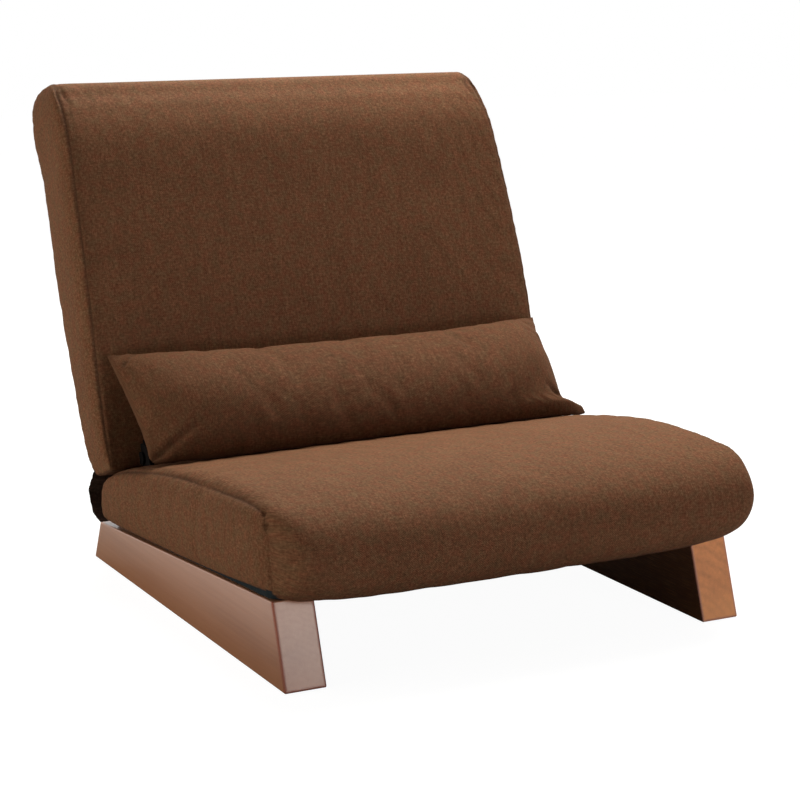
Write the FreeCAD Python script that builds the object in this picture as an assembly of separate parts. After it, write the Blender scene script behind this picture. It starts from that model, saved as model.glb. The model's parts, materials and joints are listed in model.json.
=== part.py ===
import FreeCAD, Part
import math
import os

from FreeCAD import Placement, Rotation, Vector

# Low folding chair: two wooden sled legs, a padded seat on a steel frame, a padded back that folds on two
# ratchet hinges, and a loose lumbar pillow. Millimetres, +Z up, the sitter looks along -Y.
# The origin is on the floor, midway between the seat's front roll and the back's rear roll.

# Legs
chair_width = 640.0
leg_length = 650.0
leg_thickness = 54.0
leg_front_height = 103.0
leg_rear_height = 58.0
leg_front_slope = 35.0
leg_rear_slope = 27.0
leg_edge_round = 2.0
origin_behind_leg = 405.0

# Glides under the legs
glide_radius = 11.0
glide_height = 3.0
glide_proud = 0.8
glide_inset = 60.0
glide_clearance = 0.2

# Steel tube frame of the seat
tube_size = 20.0
tube_wall = 1.5
rail_front_gap = 6.0
rail_rear_gap = 26.0
front_rail_setback = 24.0
rear_rail_setback = 6.0
cap_flange = 1.5
cap_depth = 12.0
cap_clearance = 0.2

# Leg bolts, washers and threaded inserts
bolt_radius = 4.0
bolt_head_radius = 7.0
bolt_head_height = 5.0
bolt_clearance = 0.25
bolt_reach = 22.0
bolt_setback = 64.0
washer_radius = 9.0
washer_height = 1.6
insert_radius = 6.0
insert_length = 25.0
insert_bore_depth = 30.0
insert_clearance = 0.05

# Wave springs and their clips
wire_radius = 1.6
spring_width = 46.0
spring_lead = 10.0
seat_spring_count = 5
seat_spring_spacing = 100.0
seat_spring_bends = 15
back_spring_count = 4
back_spring_spacing = 110.0
back_spring_bends = 11
spring_drop = 1.8
clip_width = 12.0
clip_depth = 7.0
clip_height = 8.0
wire_clearance = 0.15

# Black cloth under the seat
dust_cover_thickness = 1.2
dust_cover_leg_gap = 2.0
dust_cover_rail_cover = 18.0

# Upholstery in general
cover_thickness = 1.2
soft_gap = 0.3
seam_slit = 1.0

# Seat pad, measured on the plane of the leg tops
seat_overhang = 24.0
seat_past_rail = 13.0
seat_height = 107.0
seat_half_width = 328.0
seat_side_bulge = 9.0

# Hinge pivot, ahead of the rails' rear ends and above the plane of the leg tops
pivot_before_rail_end = 58.0
pivot_height = 97.7

# Back pad, measured from the pivot along and across the back's front face
back_recline = 20.5
back_length = 547.0
back_thickness = 118.0
back_half_width_low = 343.0
back_half_width_high = 331.0
back_side_bulge = 9.0

# Steel tube frame of the back
back_frame_depth = 40.0
back_frame_low = 74.0
back_frame_high = 505.0

# Ratchet hinges
plate_thickness = 4.0
plate_gap = 0.3
disc_radius = 20.0
tooth_count = 5
tooth_depth = 2.5
tooth_width = 4.0
flat_angle = 69.5
hinge_pin_radius = 5.0
hinge_head_radius = 9.0
hinge_head_height = 3.5
running_clearance = 0.05
plate_base_back = 30.0
plate_base_front = 66.0
arm_top = 145.0
arm_heel = 52.0
arm_heel_angle = 15.0
slot_side_gap = 6.0

# Pawls and their leaf springs, measured from the hinge pivot
pawl_pin_forward = 34.0
pawl_pin_below = 36.0
pawl_boss_radius = 7.0
pawl_pin_radius = 3.0
pawl_pin_head_radius = 5.0
pawl_pin_head_height = 2.2
pawl_tip_gap = 0.9
pawl_tip_half = 2.5
pawl_thickness = 5.0
spring_post_forward = 50.0
spring_post_below = 47.0
spring_post_radius = 3.0
leaf_thickness = 0.8
leaf_gap = 0.3
leaf_reach = 40.0

# Cloth gusset behind the hinge
gusset_thickness = 3.0
gusset_half_width = 330.0
gusset_reach = 104.0
gusset_top = 73.0
gusset_waist = 92.0
gusset_drop = 72.0

# Lumbar pillow, measured from the pivot along and across the back's front face
pillow_length = 640.0
pillow_shift = 12.0
pillow_top_depth = 17.0
pillow_top_rise = 142.0
pillow_low_depth = 120.0
pillow_low_rise = -10.0
pillow_front_swell = 52.0
pillow_rear_swell = 50.0
pillow_edge = 5.0

# Outlines as shares of the pad's length and height, each with the way that the point moves when the pad
# is drawn in. A point, a point that the arc passes through, and so on, round the outline.
seat_side_shares = [
    (0.000, 0.105, 0.84, 0.95),
    (0.0105, 0.568, 0.91, -0.42),
    (0.0936, 0.979, 0.2, -0.99),
    (0.5535, 0.998, -0.07, -1.0),
    (0.960, 0.657, -0.32, -0.95),
    (1.000, 0.411, -0.95, -0.33),
    (0.9975, 0.101, -0.66, 0.96),
    (0.483, 0.0215, 0.0, 1.0),
]
seat_middle_shares = [
    (-0.049, 0.046, 0.27, 0.99),
    (-0.100, 0.455, 0.99, 0.14),
    (0.0254, 1.072, -0.05, -1.02),
    (0.5175, 1.189, -0.09, -1.0),
    (0.960, 0.657, -0.37, -0.93),
    (1.000, 0.411, -0.95, -0.33),
    (0.9975, 0.101, -0.66, 0.97),
    (0.483, 0.0215, 0.0, 1.0),
]
back_side_shares = [
    (0.034, 0.022, 0.5, 6.0),
    (-0.042, 0.440, 1.0, 0.02),
    (-0.034, 0.815, 1.0, -0.04),
    (0.110, 0.920, 0.87, -0.5),
    (0.424, 0.9945, 0.48, -0.89),
    (0.780, 1.0037, -0.13, -0.99),
    (1.025, 0.987, -0.39, -0.92),
    (1.161, 0.954, -0.98, -0.21),
    (1.051, 0.905, -1.07, 0.58),
    (1.093, 0.768, -1.0, -0.02),
    (1.000, 0.494, -1.0, 0.11),
    (0.915, 0.311, -0.99, 0.15),
    (0.754, 0.137, -0.77, 1.05),
    (0.390, 0.1207, -0.46, 0.89),
]
back_middle_shares = [
    (0.034, 0.022, 0.3, 6.0),
    (-0.127, 0.457, 1.0, 0.03),
    (-0.100, 0.815, 1.0, -0.05),
    (0.050, 0.925, 0.86, -0.51),
    (0.407, 1.0037, 0.44, -0.9),
    (0.780, 1.0128, -0.13, -0.99),
    (1.042, 0.9945, -0.39, -0.93),
    (1.195, 0.958, -0.98, -0.2),
    (1.076, 0.905, -1.12, 0.56),
    (1.153, 0.768, -1.0, -0.06),
    (1.076, 0.494, -1.0, 0.11),
    (0.983, 0.311, -0.98, 0.18),
    (0.771, 0.137, -0.69, 1.06),
    (0.390, 0.1207, -0.46, 0.89),
]
# How much of the crown a section has, by its place across the pad as a share of the half width
crown_shares = [(-1.0, 0.0), (-0.78, 0.72), (0.0, 1.0), (0.78, 0.72), (1.0, 0.0)]

# How far the pillow's faces bow, by the place along the pillow as a share of its half length
pillow_swell_shares = [(-1.0, 0.06), (-0.72, 0.8), (0.0, 1.0), (0.72, 0.8), (1.0, 0.06)]

# Places that follow from the sizes above
half_width = chair_width / 2
leg_inner = half_width - leg_thickness
leg_front = -origin_behind_leg
top_run = leg_length - leg_front_slope - leg_rear_slope
rail_rear = top_run - rail_rear_gap
seat_length = seat_overhang + rail_rear + seat_past_rail
pivot_back = rail_rear - pivot_before_rail_end
deck_angle = math.degrees(math.atan2(leg_front_height - leg_rear_height, top_run))
deck_start = Vector(0, leg_front + leg_front_slope, leg_front_height)
deck = Placement(deck_start, Rotation(Vector(1, 0, 0), -deck_angle))
pivot = deck.multVec(Vector(0, pivot_back, pivot_height))
back_frame = Placement(pivot, Rotation(Vector(1, 0, 0), -back_recline))
hinge_frame = Placement(pivot, Rotation())
rail_centre = half_width - leg_thickness / 2
rail_inner = rail_centre - tube_size / 2
rail_outer = rail_centre + tube_size / 2
plate_inner = rail_inner - plate_thickness
arm_outer = plate_inner - plate_gap
arm_inner = arm_outer - plate_thickness
upright_inner = arm_inner - tube_size
front_rail = rail_front_gap + front_rail_setback
rear_rail = rail_rear - rear_rail_setback - tube_size
slot_inner = arm_inner - slot_side_gap
slot_outer = rail_inner + slot_side_gap
overrun = 2 * back_length
bolt_places = (bolt_setback, rail_rear - bolt_setback)


def box(x0, x1, y0, y1, z0, z1):
    return Part.makeBox(x1 - x0, y1 - y0, z1 - z0, Vector(x0, y0, z0))


def disc(radius, x0, x1, y, z):
    return Part.makeCylinder(radius, x1 - x0, Vector(x0, y, z), Vector(1, 0, 0))


def stud(radius, x, y, z0, z1):
    return Part.makeCylinder(radius, z1 - z0, Vector(x, y, z0))


def prism(points, x0, x1):
    corners = [Vector(x0, y, z) for y, z in points]
    outline = Part.makePolygon(corners + corners[:1])
    return Part.Face(outline).extrude(Vector(x1 - x0, 0, 0))


def arc(a, b, c):
    return Part.Arc(a, b, c).toShape()


def placed(shape, placement):
    moved = shape.copy()
    moved.Placement = placement.multiply(moved.Placement)
    return moved


def mirrored(shape):
    return shape.mirror(Vector(0, 0, 0), Vector(1, 0, 0))


def both_sides(shape):
    return [shape, mirrored(shape)]


def export(name, shapes):
    solids = [solid for shape in shapes for solid in shape.Solids]
    whole = solids[0] if len(solids) == 1 else Part.makeCompound(solids)
    whole.exportStep("parts/" + name + ".step")
    volume = sum(solid.Volume for solid in solids)
    print(name, len(solids), "solids", round(volume), "mm3", all(solid.isValid() for solid in solids))


# Square tubes along each axis
def tube_across(x0, x1, y, z):
    outer = box(x0, x1, y, y + tube_size, z, z + tube_size)
    inner = box(x0, x1, y + tube_wall, y + tube_size - tube_wall, z + tube_wall, z + tube_size - tube_wall)
    return outer.cut(inner)


def tube_along(x, y0, y1, z):
    outer = box(x, x + tube_size, y0, y1, z, z + tube_size)
    inner = box(x + tube_wall, x + tube_size - tube_wall, y0, y1, z + tube_wall, z + tube_size - tube_wall)
    return outer.cut(inner)


def tube_up(x, y, z0, z1):
    outer = box(x, x + tube_size, y, y + tube_size, z0, z1)
    inner = box(x + tube_wall, x + tube_size - tube_wall, y + tube_wall, y + tube_size - tube_wall, z0, z1)
    return outer.cut(inner)


# One closed outline of arcs in a plane across the chair, drawn in by an inset
def outline_wire(x, side, middle, crown, length, height, start, inset):
    points = []
    for (a0, b0, da, db), (a1, b1, _, _) in zip(side, middle):
        along = start + (a0 + (a1 - a0) * crown) * length + da * inset
        up = (b0 + (b1 - b0) * crown) * height + db * inset
        points.append(Vector(x, along, up))
    count = len(points)
    edges = [arc(points[i], points[i + 1], points[(i + 2) % count]) for i in range(0, count, 2)]
    return Part.Wire(edges)


def crowned_loft(side, middle, length, height, start, half, inset):
    wires = [outline_wire(share * half, side, middle, crown, length, height, start, inset)
             for share, crown in crown_shares]
    return Part.makeLoft(wires, True, False)


# Seat pad: crowned top, full front roll, sides that swell between their seams
def seat_pad(inset):
    body = crowned_loft(seat_side_shares, seat_middle_shares, seat_length, seat_height, -seat_overhang,
                        seat_half_width + seat_side_bulge, inset)
    edge = seat_half_width - inset
    swell = edge + seat_side_bulge
    low = Vector(edge, -overrun, 0)
    mid = Vector(swell, -overrun, seat_height / 2)
    high = Vector(edge, -overrun, seat_height)
    cap = Vector(edge - seat_side_bulge, -overrun, 2 * seat_height)
    flip = [Vector(-p.x, p.y, p.z) for p in (low, mid, high, cap)]
    outline = Part.Wire([
        arc(low, mid, high),
        Part.makeLine(high, cap),
        Part.makeLine(cap, flip[3]),
        Part.makeLine(flip[3], flip[2]),
        arc(flip[2], flip[1], flip[0]),
        Part.makeLine(flip[0], low),
    ])
    sides = Part.Face(outline).extrude(Vector(0, 2 * overrun, 0))
    return placed(body.common(sides), deck)


# Back pad: outline with a roll at the top, narrower towards the top, sides that swell between their seams
def back_pad(inset):
    body = crowned_loft(back_side_shares, back_middle_shares, back_thickness, back_length, 0,
                        back_half_width_low + back_side_bulge, inset)
    rings = []
    taper = (back_half_width_low - back_half_width_high) / back_length
    for s in (-back_thickness, back_length + back_thickness):
        edge = back_half_width_low - taper * s - inset
        front = Vector(edge, -back_thickness / 4, s)
        mid = Vector(edge + back_side_bulge, back_thickness / 2, s)
        rear = Vector(edge, back_thickness * 5 / 4, s)
        flip = [Vector(-p.x, p.y, p.z) for p in (front, mid, rear)]
        rings.append(Part.Wire([
            arc(front, mid, rear),
            Part.makeLine(rear, flip[2]),
            arc(flip[2], flip[1], flip[0]),
            Part.makeLine(flip[0], front),
        ]))
    sides = Part.makeLoft(rings, True, True)
    return placed(body.common(sides), back_frame)


# Legs
def leg_outline():
    low = glide_proud
    return [
        (leg_front, low),
        (leg_front + leg_length, low),
        (leg_front + leg_length - leg_rear_slope, leg_rear_height),
        (leg_front + leg_front_slope, leg_front_height),
    ]


def glide_places():
    return (leg_front + glide_inset, leg_front + leg_length - glide_inset)


def right_leg():
    leg = prism(leg_outline(), leg_inner, half_width)
    leg = leg.makeFillet(leg_edge_round, leg.Edges)
    for y in glide_places():
        leg = leg.cut(stud(glide_radius + glide_clearance, rail_centre, y, 0, glide_height))
    for v in bolt_places:
        hole = stud(insert_radius + insert_clearance, rail_centre, v, -insert_bore_depth, overrun)
        leg = leg.cut(placed(hole, deck))
    return leg


def leg_glides():
    glides = [stud(glide_radius, rail_centre, y, 0, glide_height) for y in glide_places()]
    return glides + [mirrored(glide) for glide in glides]


# Bolts that hold the legs to the seat frame, with their washers and threaded inserts
def leg_fasteners():
    bolts = []
    washers = []
    inserts = []
    washer_top = tube_size + washer_height
    for v in bolt_places:
        shank = stud(bolt_radius, rail_centre, v, -bolt_reach, washer_top)
        head = stud(bolt_head_radius, rail_centre, v, washer_top, washer_top + bolt_head_height)
        bolts += both_sides(placed(shank.fuse(head).removeSplitter(), deck))
        washer = stud(washer_radius, rail_centre, v, tube_size, washer_top)
        washer = washer.cut(stud(bolt_radius + bolt_clearance, rail_centre, v, 0, overrun))
        washers += both_sides(placed(washer, deck))
        insert = stud(insert_radius, rail_centre, v, -insert_length, 0)
        insert = insert.cut(stud(bolt_radius + insert_clearance, rail_centre, v, -overrun, overrun))
        inserts += both_sides(placed(insert, deck))
    return bolts, washers, inserts


# Seat frame
def seat_side_rail():
    rail = tube_along(rail_inner, rail_front_gap, rail_rear, 0)
    for v in bolt_places:
        rail = rail.cut(stud(bolt_radius + bolt_clearance, rail_centre, v, -tube_size, 2 * tube_size))
    return placed(rail, deck)


def rail_end_caps():
    caps = []
    plug_edge = tube_wall + cap_clearance
    for face, way in ((rail_front_gap, 1), (rail_rear, -1)):
        y0, y1 = sorted((face, face - way * cap_flange))
        flange = box(rail_inner, rail_outer, y0, y1, 0, tube_size)
        y0, y1 = sorted((face, face + way * cap_depth))
        plug = box(rail_inner + plug_edge, rail_outer - plug_edge, y0, y1, plug_edge, tube_size - plug_edge)
        caps += both_sides(placed(flange.fuse(plug).removeSplitter(), deck))
    return caps


# A wave spring in the plane of its frame: straight runs joined by half turns, quarter turns at its ends
def wave_spring(length, bends):
    radius = (length - 2 * spring_lead) / (2 * (bends + 1))
    reach = spring_width / 2 - radius
    turn = radius * math.sqrt(0.5)
    edges = [Part.makeLine(Vector(0, 0, 0), Vector(0, spring_lead, 0))]
    edges.append(arc(Vector(0, spring_lead, 0), Vector(radius - turn, spring_lead + turn, 0),
                     Vector(radius, spring_lead + radius, 0)))
    x = radius
    y = spring_lead + radius
    way = 1
    for _ in range(bends):
        edges.append(Part.makeLine(Vector(x, y, 0), Vector(way * reach, y, 0)))
        x = way * reach
        edges.append(arc(Vector(x, y, 0), Vector(x + way * radius, y + radius, 0),
                         Vector(x, y + 2 * radius, 0)))
        y += 2 * radius
        way = -way
    stop = -way * radius
    edges.append(Part.makeLine(Vector(x, y, 0), Vector(stop, y, 0)))
    edges.append(arc(Vector(stop, y, 0), Vector(stop + way * turn, y + radius - turn, 0),
                     Vector(0, y + radius, 0)))
    edges.append(Part.makeLine(Vector(0, y + radius, 0), Vector(0, y + radius + spring_lead, 0)))
    ring = Part.Wire([Part.makeCircle(wire_radius, Vector(0, 0, 0), Vector(0, 1, 0))])
    pipe = Part.BRepOffsetAPI.MakePipeShell(Part.Wire(edges))
    pipe.add(ring)
    pipe.build()
    pipe.makeSolid()
    return pipe.shape()


def spring_places(count, spacing):
    return [(i - (count - 1) / 2) * spacing for i in range(count)]


# Springs run from rail to rail, and each end sits in a clip on the rail's face
def spring_set(count, spacing, bends, start, end, plane, turn):
    springs = []
    clips = []
    wave = wave_spring(end - start - 2 * soft_gap, bends)
    for x in spring_places(count, spacing):
        lie = Placement(Vector(x, start + soft_gap, plane), Rotation())
        springs.append(placed(placed(wave, lie), turn))
        for y0 in (start, end - clip_depth):
            clip = box(x - clip_width / 2, x + clip_width / 2, y0, y0 + clip_depth,
                       plane + spring_drop - clip_height, plane + spring_drop)
            bore = Part.makeCylinder(wire_radius + wire_clearance, end - start,
                                     Vector(x, start, plane), Vector(0, 1, 0))
            clips.append(placed(clip.cut(bore), turn))
    return springs, clips


def seat_springs():
    return spring_set(seat_spring_count, seat_spring_spacing, seat_spring_bends,
                      front_rail + tube_size, rear_rail, tube_size - spring_drop, deck)


def back_springs():
    stand = Placement(Vector(0, 0, 0), Rotation(Vector(1, 0, 0), 90))
    turn = back_frame.multiply(stand)
    return spring_set(back_spring_count, back_spring_spacing, back_spring_bends,
                      back_frame_low + tube_size, back_frame_high - tube_size,
                      spring_drop - back_frame_depth - 2 * spring_drop, turn)


def dust_cover():
    reach = leg_inner - dust_cover_leg_gap
    front = front_rail + tube_size - dust_cover_rail_cover
    rear = rear_rail + dust_cover_rail_cover
    return placed(box(-reach, reach, front, rear, -dust_cover_thickness, 0), deck)


# Room inside the seat pad for its frame, its bolts and its hinges
def seat_pocket():
    side = rail_outer + soft_gap
    front = rail_front_gap - cap_flange - soft_gap
    rear = rail_rear + cap_flange + soft_gap
    room = box(-side, side, front, rear, -overrun, tube_size + soft_gap)
    head = tube_size + washer_height + bolt_head_height + soft_gap
    for v in bolt_places:
        for x in (-rail_centre, rail_centre):
            room = room.fuse(stud(washer_radius + soft_gap, x, v, 0, head))
    return placed(room, deck)


def seat_hinge_slots():
    ahead = plate_base_front + slot_side_gap
    mouth = disc_radius + slot_side_gap
    shelf = pawl_pin_below - pawl_boss_radius
    points = [
        (-ahead - pawl_boss_radius, -overrun),
        (-ahead - pawl_boss_radius, -shelf - mouth / 2),
        (-mouth - tube_size, slot_side_gap - shelf),
        (-mouth, slot_side_gap),
        (-mouth, overrun),
        (overrun, overrun),
        (overrun, -overrun),
    ]
    return both_sides(placed(prism(points, slot_inner, slot_outer), hinge_frame))


def back_hinge_slots():
    mouth = disc_radius + slot_side_gap
    deep = back_frame_depth - slot_side_gap
    rear = back_frame_depth + tube_size + soft_gap
    top = arm_top + slot_side_gap
    points = [
        (-mouth, -overrun),
        (-mouth, mouth),
        (-slot_side_gap, mouth),
        (deep, back_frame_low + slot_side_gap),
        (deep, top),
        (rear, top),
        (rear, -overrun),
    ]
    return both_sides(placed(prism(points, slot_inner, slot_outer), back_frame))


def without(shape, tools):
    for tool in tools:
        shape = shape.cut(tool)
    return shape


def seat_cover():
    skin = seat_pad(0).cut(seat_pad(cover_thickness))
    return without(skin, [seat_pocket()] + seat_hinge_slots())


def seat_foam():
    return without(seat_pad(cover_thickness + soft_gap), [seat_pocket()] + seat_hinge_slots())


# Room inside the back pad for its frame
def back_pocket():
    side = arm_outer + soft_gap
    front = back_frame_depth - soft_gap
    rear = back_frame_depth + tube_size + soft_gap
    return placed(box(-side, side, front, rear, -overrun, back_frame_high + soft_gap), back_frame)


def back_halfspace(front, rear):
    reach = 2 * half_width
    return placed(box(-reach, reach, front, rear, -overrun, overrun), back_frame)


def back_cover():
    skin = back_pad(0).cut(back_pad(cover_thickness))
    return without(skin, back_hinge_slots())


def back_foams():
    foam = back_pad(cover_thickness + soft_gap)
    split = back_frame_depth + tube_size
    front = foam.common(back_halfspace(-overrun, split))
    front = without(front, [back_pocket()] + back_hinge_slots())
    rear = foam.common(back_halfspace(split + soft_gap, overrun))
    return front, rear


# Back frame
def back_uprights():
    upright = tube_up(upright_inner, back_frame_depth, back_frame_low, back_frame_high)
    return placed(upright, back_frame)


def back_rail(s):
    return placed(tube_across(-upright_inner, upright_inner, back_frame_depth, s), back_frame)


def pawl_pin_hole():
    return disc(pawl_pin_radius + running_clearance, -overrun, overrun, -pawl_pin_forward, -pawl_pin_below)


# Seat side of the hinge: a plate from the rail up to the pivot, with the post of the pawl's spring
def hinge_plate():
    rail_top = deck.multVec(Vector(0, pivot_back, tube_size)) - pivot
    foot_front = deck.multVec(Vector(0, pivot_back - plate_base_front, 0)) - pivot
    foot_rear = deck.multVec(Vector(0, pivot_back + plate_base_back, 0)) - pivot
    neck = disc_radius * math.sqrt(0.5)
    points = [
        (foot_front.y, foot_front.z),
        (foot_front.y, rail_top.z),
        (-neck, neck),
        (neck, neck),
        (neck * 3 / 2, -neck / 2),
        (foot_rear.y, rail_top.z),
        (foot_rear.y, foot_rear.z),
    ]
    plate = prism(points, plate_inner, rail_inner)
    plate = plate.fuse(disc(disc_radius, plate_inner, rail_inner, 0, 0))
    plate = plate.cut(disc(hinge_pin_radius + running_clearance, -overrun, overrun, 0, 0))
    plate = plate.cut(pawl_pin_hole())
    post = disc(spring_post_radius, arm_inner, plate_inner, -spring_post_forward, -spring_post_below)
    return placed(plate.fuse(post).removeSplitter(), hinge_frame)


# Back side of the hinge: a toothed disc about the pivot and an arm along the upright
def hinge_arm():
    rear = back_frame_depth + tube_size
    heel = Rotation(Vector(1, 0, 0), arm_heel_angle).multVec(Vector(0, disc_radius, 0))
    points = [
        (0, disc_radius),
        (back_frame_depth, back_frame_low),
        (back_frame_depth, arm_top),
        (rear, arm_top),
        (rear, arm_heel),
        (heel.y, heel.z),
    ]
    arm = prism(points, arm_inner, arm_outer)
    arm = arm.fuse(disc(disc_radius, arm_inner, arm_outer, 0, 0))
    arm = arm.cut(disc(hinge_pin_radius + running_clearance, -overrun, overrun, 0, 0))
    for i in range(tooth_count):
        way = flat_angle * i / (tooth_count - 1) - (90 - back_recline)
        notch = box(-overrun, overrun, disc_radius - tooth_depth, disc_radius + tooth_depth,
                    -tooth_width / 2, tooth_width / 2)
        arm = arm.cut(placed(notch, Placement(Vector(0, 0, 0), Rotation(Vector(1, 0, 0), way))))
    return placed(arm.removeSplitter(), back_frame)


def hinge_pin():
    inner = arm_inner - hinge_head_height
    outer = rail_inner + hinge_head_height
    pin = disc(hinge_pin_radius, inner, outer, 0, 0)
    pin = pin.fuse(disc(hinge_head_radius, inner, arm_inner - plate_gap / 2, 0, 0))
    pin = pin.fuse(disc(hinge_head_radius, rail_inner, outer, 0, 0))
    return placed(pin.removeSplitter(), hinge_frame)


def pawl():
    tip = disc_radius + pawl_tip_gap
    points = [
        (-pawl_pin_forward, pawl_boss_radius - pawl_pin_below),
        (-pawl_tip_half, -tip),
        (pawl_tip_half, -tip),
        (pawl_tip_half, -tip - pawl_thickness),
        (-pawl_pin_forward, -pawl_boss_radius - pawl_pin_below),
    ]
    lever = prism(points, arm_inner, arm_outer)
    lever = lever.fuse(disc(pawl_boss_radius, arm_inner, arm_outer, -pawl_pin_forward, -pawl_pin_below))
    lever = lever.cut(pawl_pin_hole())
    return placed(lever.removeSplitter(), hinge_frame)


def pawl_pin():
    inner = arm_inner - plate_gap - pawl_pin_head_height
    pin = disc(pawl_pin_radius, inner, rail_inner, -pawl_pin_forward, -pawl_pin_below)
    head = disc(pawl_pin_head_radius, inner, arm_inner - plate_gap, -pawl_pin_forward, -pawl_pin_below)
    return placed(pin.fuse(head).removeSplitter(), hinge_frame)


# Leaf spring: a ring round its post and a curved strip that reaches under the pawl
def pawl_spring():
    ring_radius = spring_post_radius + leaf_gap + leaf_thickness
    post = (-spring_post_forward, -spring_post_below)
    ring = disc(ring_radius, arm_inner, arm_outer, *post)
    low = post[1] - spring_post_radius - leaf_gap
    end_y = -spring_post_forward + leaf_reach
    pawl_low = disc_radius + pawl_tip_gap + pawl_thickness
    slope = (pawl_pin_below + pawl_boss_radius - pawl_low) / (pawl_pin_forward + pawl_tip_half)
    end_z = -pawl_low - slope * (pawl_tip_half - end_y) - 2 * leaf_gap
    mid_y = (post[0] + end_y) / 2
    mid_z = low + (end_z - low) / 4
    top = [Vector(arm_inner, post[0], low), Vector(arm_inner, mid_y, mid_z), Vector(arm_inner, end_y, end_z)]
    drop = Vector(0, 0, -leaf_thickness)
    under = [point + drop for point in top]
    outline = Part.Wire([
        arc(*top),
        Part.makeLine(top[2], under[2]),
        arc(under[2], under[1], under[0]),
        Part.makeLine(under[0], top[0]),
    ])
    strip = Part.Face(outline).extrude(Vector(plate_thickness, 0, 0))
    leaf = ring.fuse(strip)
    leaf = leaf.cut(disc(spring_post_radius + leaf_gap, -overrun, overrun, *post))
    return placed(leaf.removeSplitter(), hinge_frame)


# Gusset: a thin cloth hood behind the hinge, closed at both sides
def gusset_outline(draw_in):
    top = Vector(0, gusset_waist - draw_in, gusset_top)
    waist = Vector(0, gusset_waist - draw_in, 0)
    belly = Vector(0, gusset_reach - draw_in, -gusset_drop / 2)
    foot = Vector(0, gusset_waist + cover_thickness - draw_in, -gusset_drop)
    front = Vector(0, 0, -gusset_drop)
    crest = Vector(0, 0, gusset_top)
    return Part.Wire([
        Part.makeLine(top, waist),
        arc(waist, belly, foot),
        Part.makeLine(foot, front),
        Part.makeLine(front, crest),
        Part.makeLine(crest, top),
    ])


def gusset_block(draw_in, reach):
    face = Part.Face(gusset_outline(draw_in))
    block = face.extrude(Vector(2 * reach, 0, 0))
    return placed(placed(block, Placement(Vector(-reach, 0, 0), Rotation())), back_frame)


def hinge_gusset():
    shell = gusset_block(0, gusset_half_width)
    shell = shell.cut(gusset_block(gusset_thickness, gusset_half_width - gusset_thickness))
    shell = without(shell, [seat_pad(-soft_gap), back_pad(-soft_gap)])
    above_legs = placed(box(-overrun, overrun, -overrun, overrun, soft_gap, overrun), deck)
    return shell.common(above_legs)


# Lumbar pillow: two bowed faces that meet in a thin seam all round
def pillow_form(inset):
    top = Vector(0, -pillow_top_depth, pillow_top_rise)
    low = Vector(0, -pillow_low_depth, pillow_low_rise)
    run = low - top
    along = Vector(run).normalize()
    out = Vector(0, along.z, -along.y)
    wires = []
    for share, swell in pillow_swell_shares:
        x = share * (pillow_length / 2 - inset)
        shrink = along * (inset * 2)
        a = top + shrink
        b = low - shrink
        middle = (a + b) / 2
        half_edge = out * (pillow_edge / 2)
        front = middle + out * (pillow_edge / 2 + swell * (pillow_front_swell - inset))
        rear = middle - out * (pillow_edge / 2 + swell * (pillow_rear_swell - inset))
        corners = [a + half_edge, front, b + half_edge, b - half_edge, rear, a - half_edge]
        corners = [Vector(x + pillow_shift, p.y, p.z) for p in corners]
        wires.append(Part.Wire([
            arc(corners[0], corners[1], corners[2]),
            Part.makeLine(corners[2], corners[3]),
            arc(corners[3], corners[4], corners[5]),
            Part.makeLine(corners[5], corners[0]),
        ]))
    form = placed(Part.makeLoft(wires, True, False), back_frame)
    return without(form, [seat_pad(-soft_gap - inset), back_pad(-soft_gap - inset)])


def pillow_cover():
    skin = pillow_form(0).cut(pillow_form(cover_thickness))
    slit = box(-pillow_length / 4, pillow_length / 4, -pillow_low_depth, -pillow_top_depth, 0, seam_slit)
    return skin.cut(placed(slit, back_frame))


os.makedirs("parts", exist_ok=True)
export("right_leg", [right_leg()])
export("left_leg", [mirrored(right_leg())])
export("leg_glides", leg_glides())
bolts, washers, inserts = leg_fasteners()
export("leg_bolts", bolts)
export("leg_washers", washers)
export("leg_inserts", inserts)
export("seat_rail_right", [seat_side_rail()])
export("seat_rail_left", [mirrored(seat_side_rail())])
export("seat_rail_front", [placed(tube_across(-rail_inner, rail_inner, front_rail, 0), deck)])
export("seat_rail_rear", [placed(tube_across(-rail_inner, rail_inner, rear_rail, 0), deck)])
export("rail_end_caps", rail_end_caps())
waves, clips = seat_springs()
export("seat_springs", waves)
export("seat_spring_clips", clips)
export("dust_cover", [dust_cover()])
export("seat_foam", [seat_foam()])
export("seat_cover", [seat_cover()])
for side, turn in (("right", lambda shape: shape), ("left", mirrored)):
    export("hinge_plate_" + side, [turn(hinge_plate())])
    export("hinge_arm_" + side, [turn(hinge_arm())])
    export("pawl_" + side, [turn(pawl())])
    export("pawl_spring_" + side, [turn(pawl_spring())])
    export("back_upright_" + side, [turn(back_uprights())])
export("hinge_pins", both_sides(hinge_pin()))
export("pawl_pins", both_sides(pawl_pin()))
export("back_rail_bottom", [back_rail(back_frame_low)])
export("back_rail_top", [back_rail(back_frame_high - tube_size)])
waves, clips = back_springs()
export("back_springs", waves)
export("back_spring_clips", clips)
front_foam, rear_foam = back_foams()
export("back_foam_front", [front_foam])
export("back_foam_rear", [rear_foam])
export("back_cover", [back_cover()])
export("hinge_gusset", [hinge_gusset()])
export("pillow_cover", [pillow_cover()])
export("pillow_filling", [pillow_form(cover_thickness + soft_gap)])
print("pivot", round(pivot.y, 3), round(pivot.z, 3), "deck angle", round(deck_angle, 3))
pawl_at = hinge_frame.multVec(Vector(0, -pawl_pin_forward, -pawl_pin_below))
print("pawl pivot", round(arm_inner, 2), round(pawl_at.y, 3), round(pawl_at.z, 3))
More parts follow.
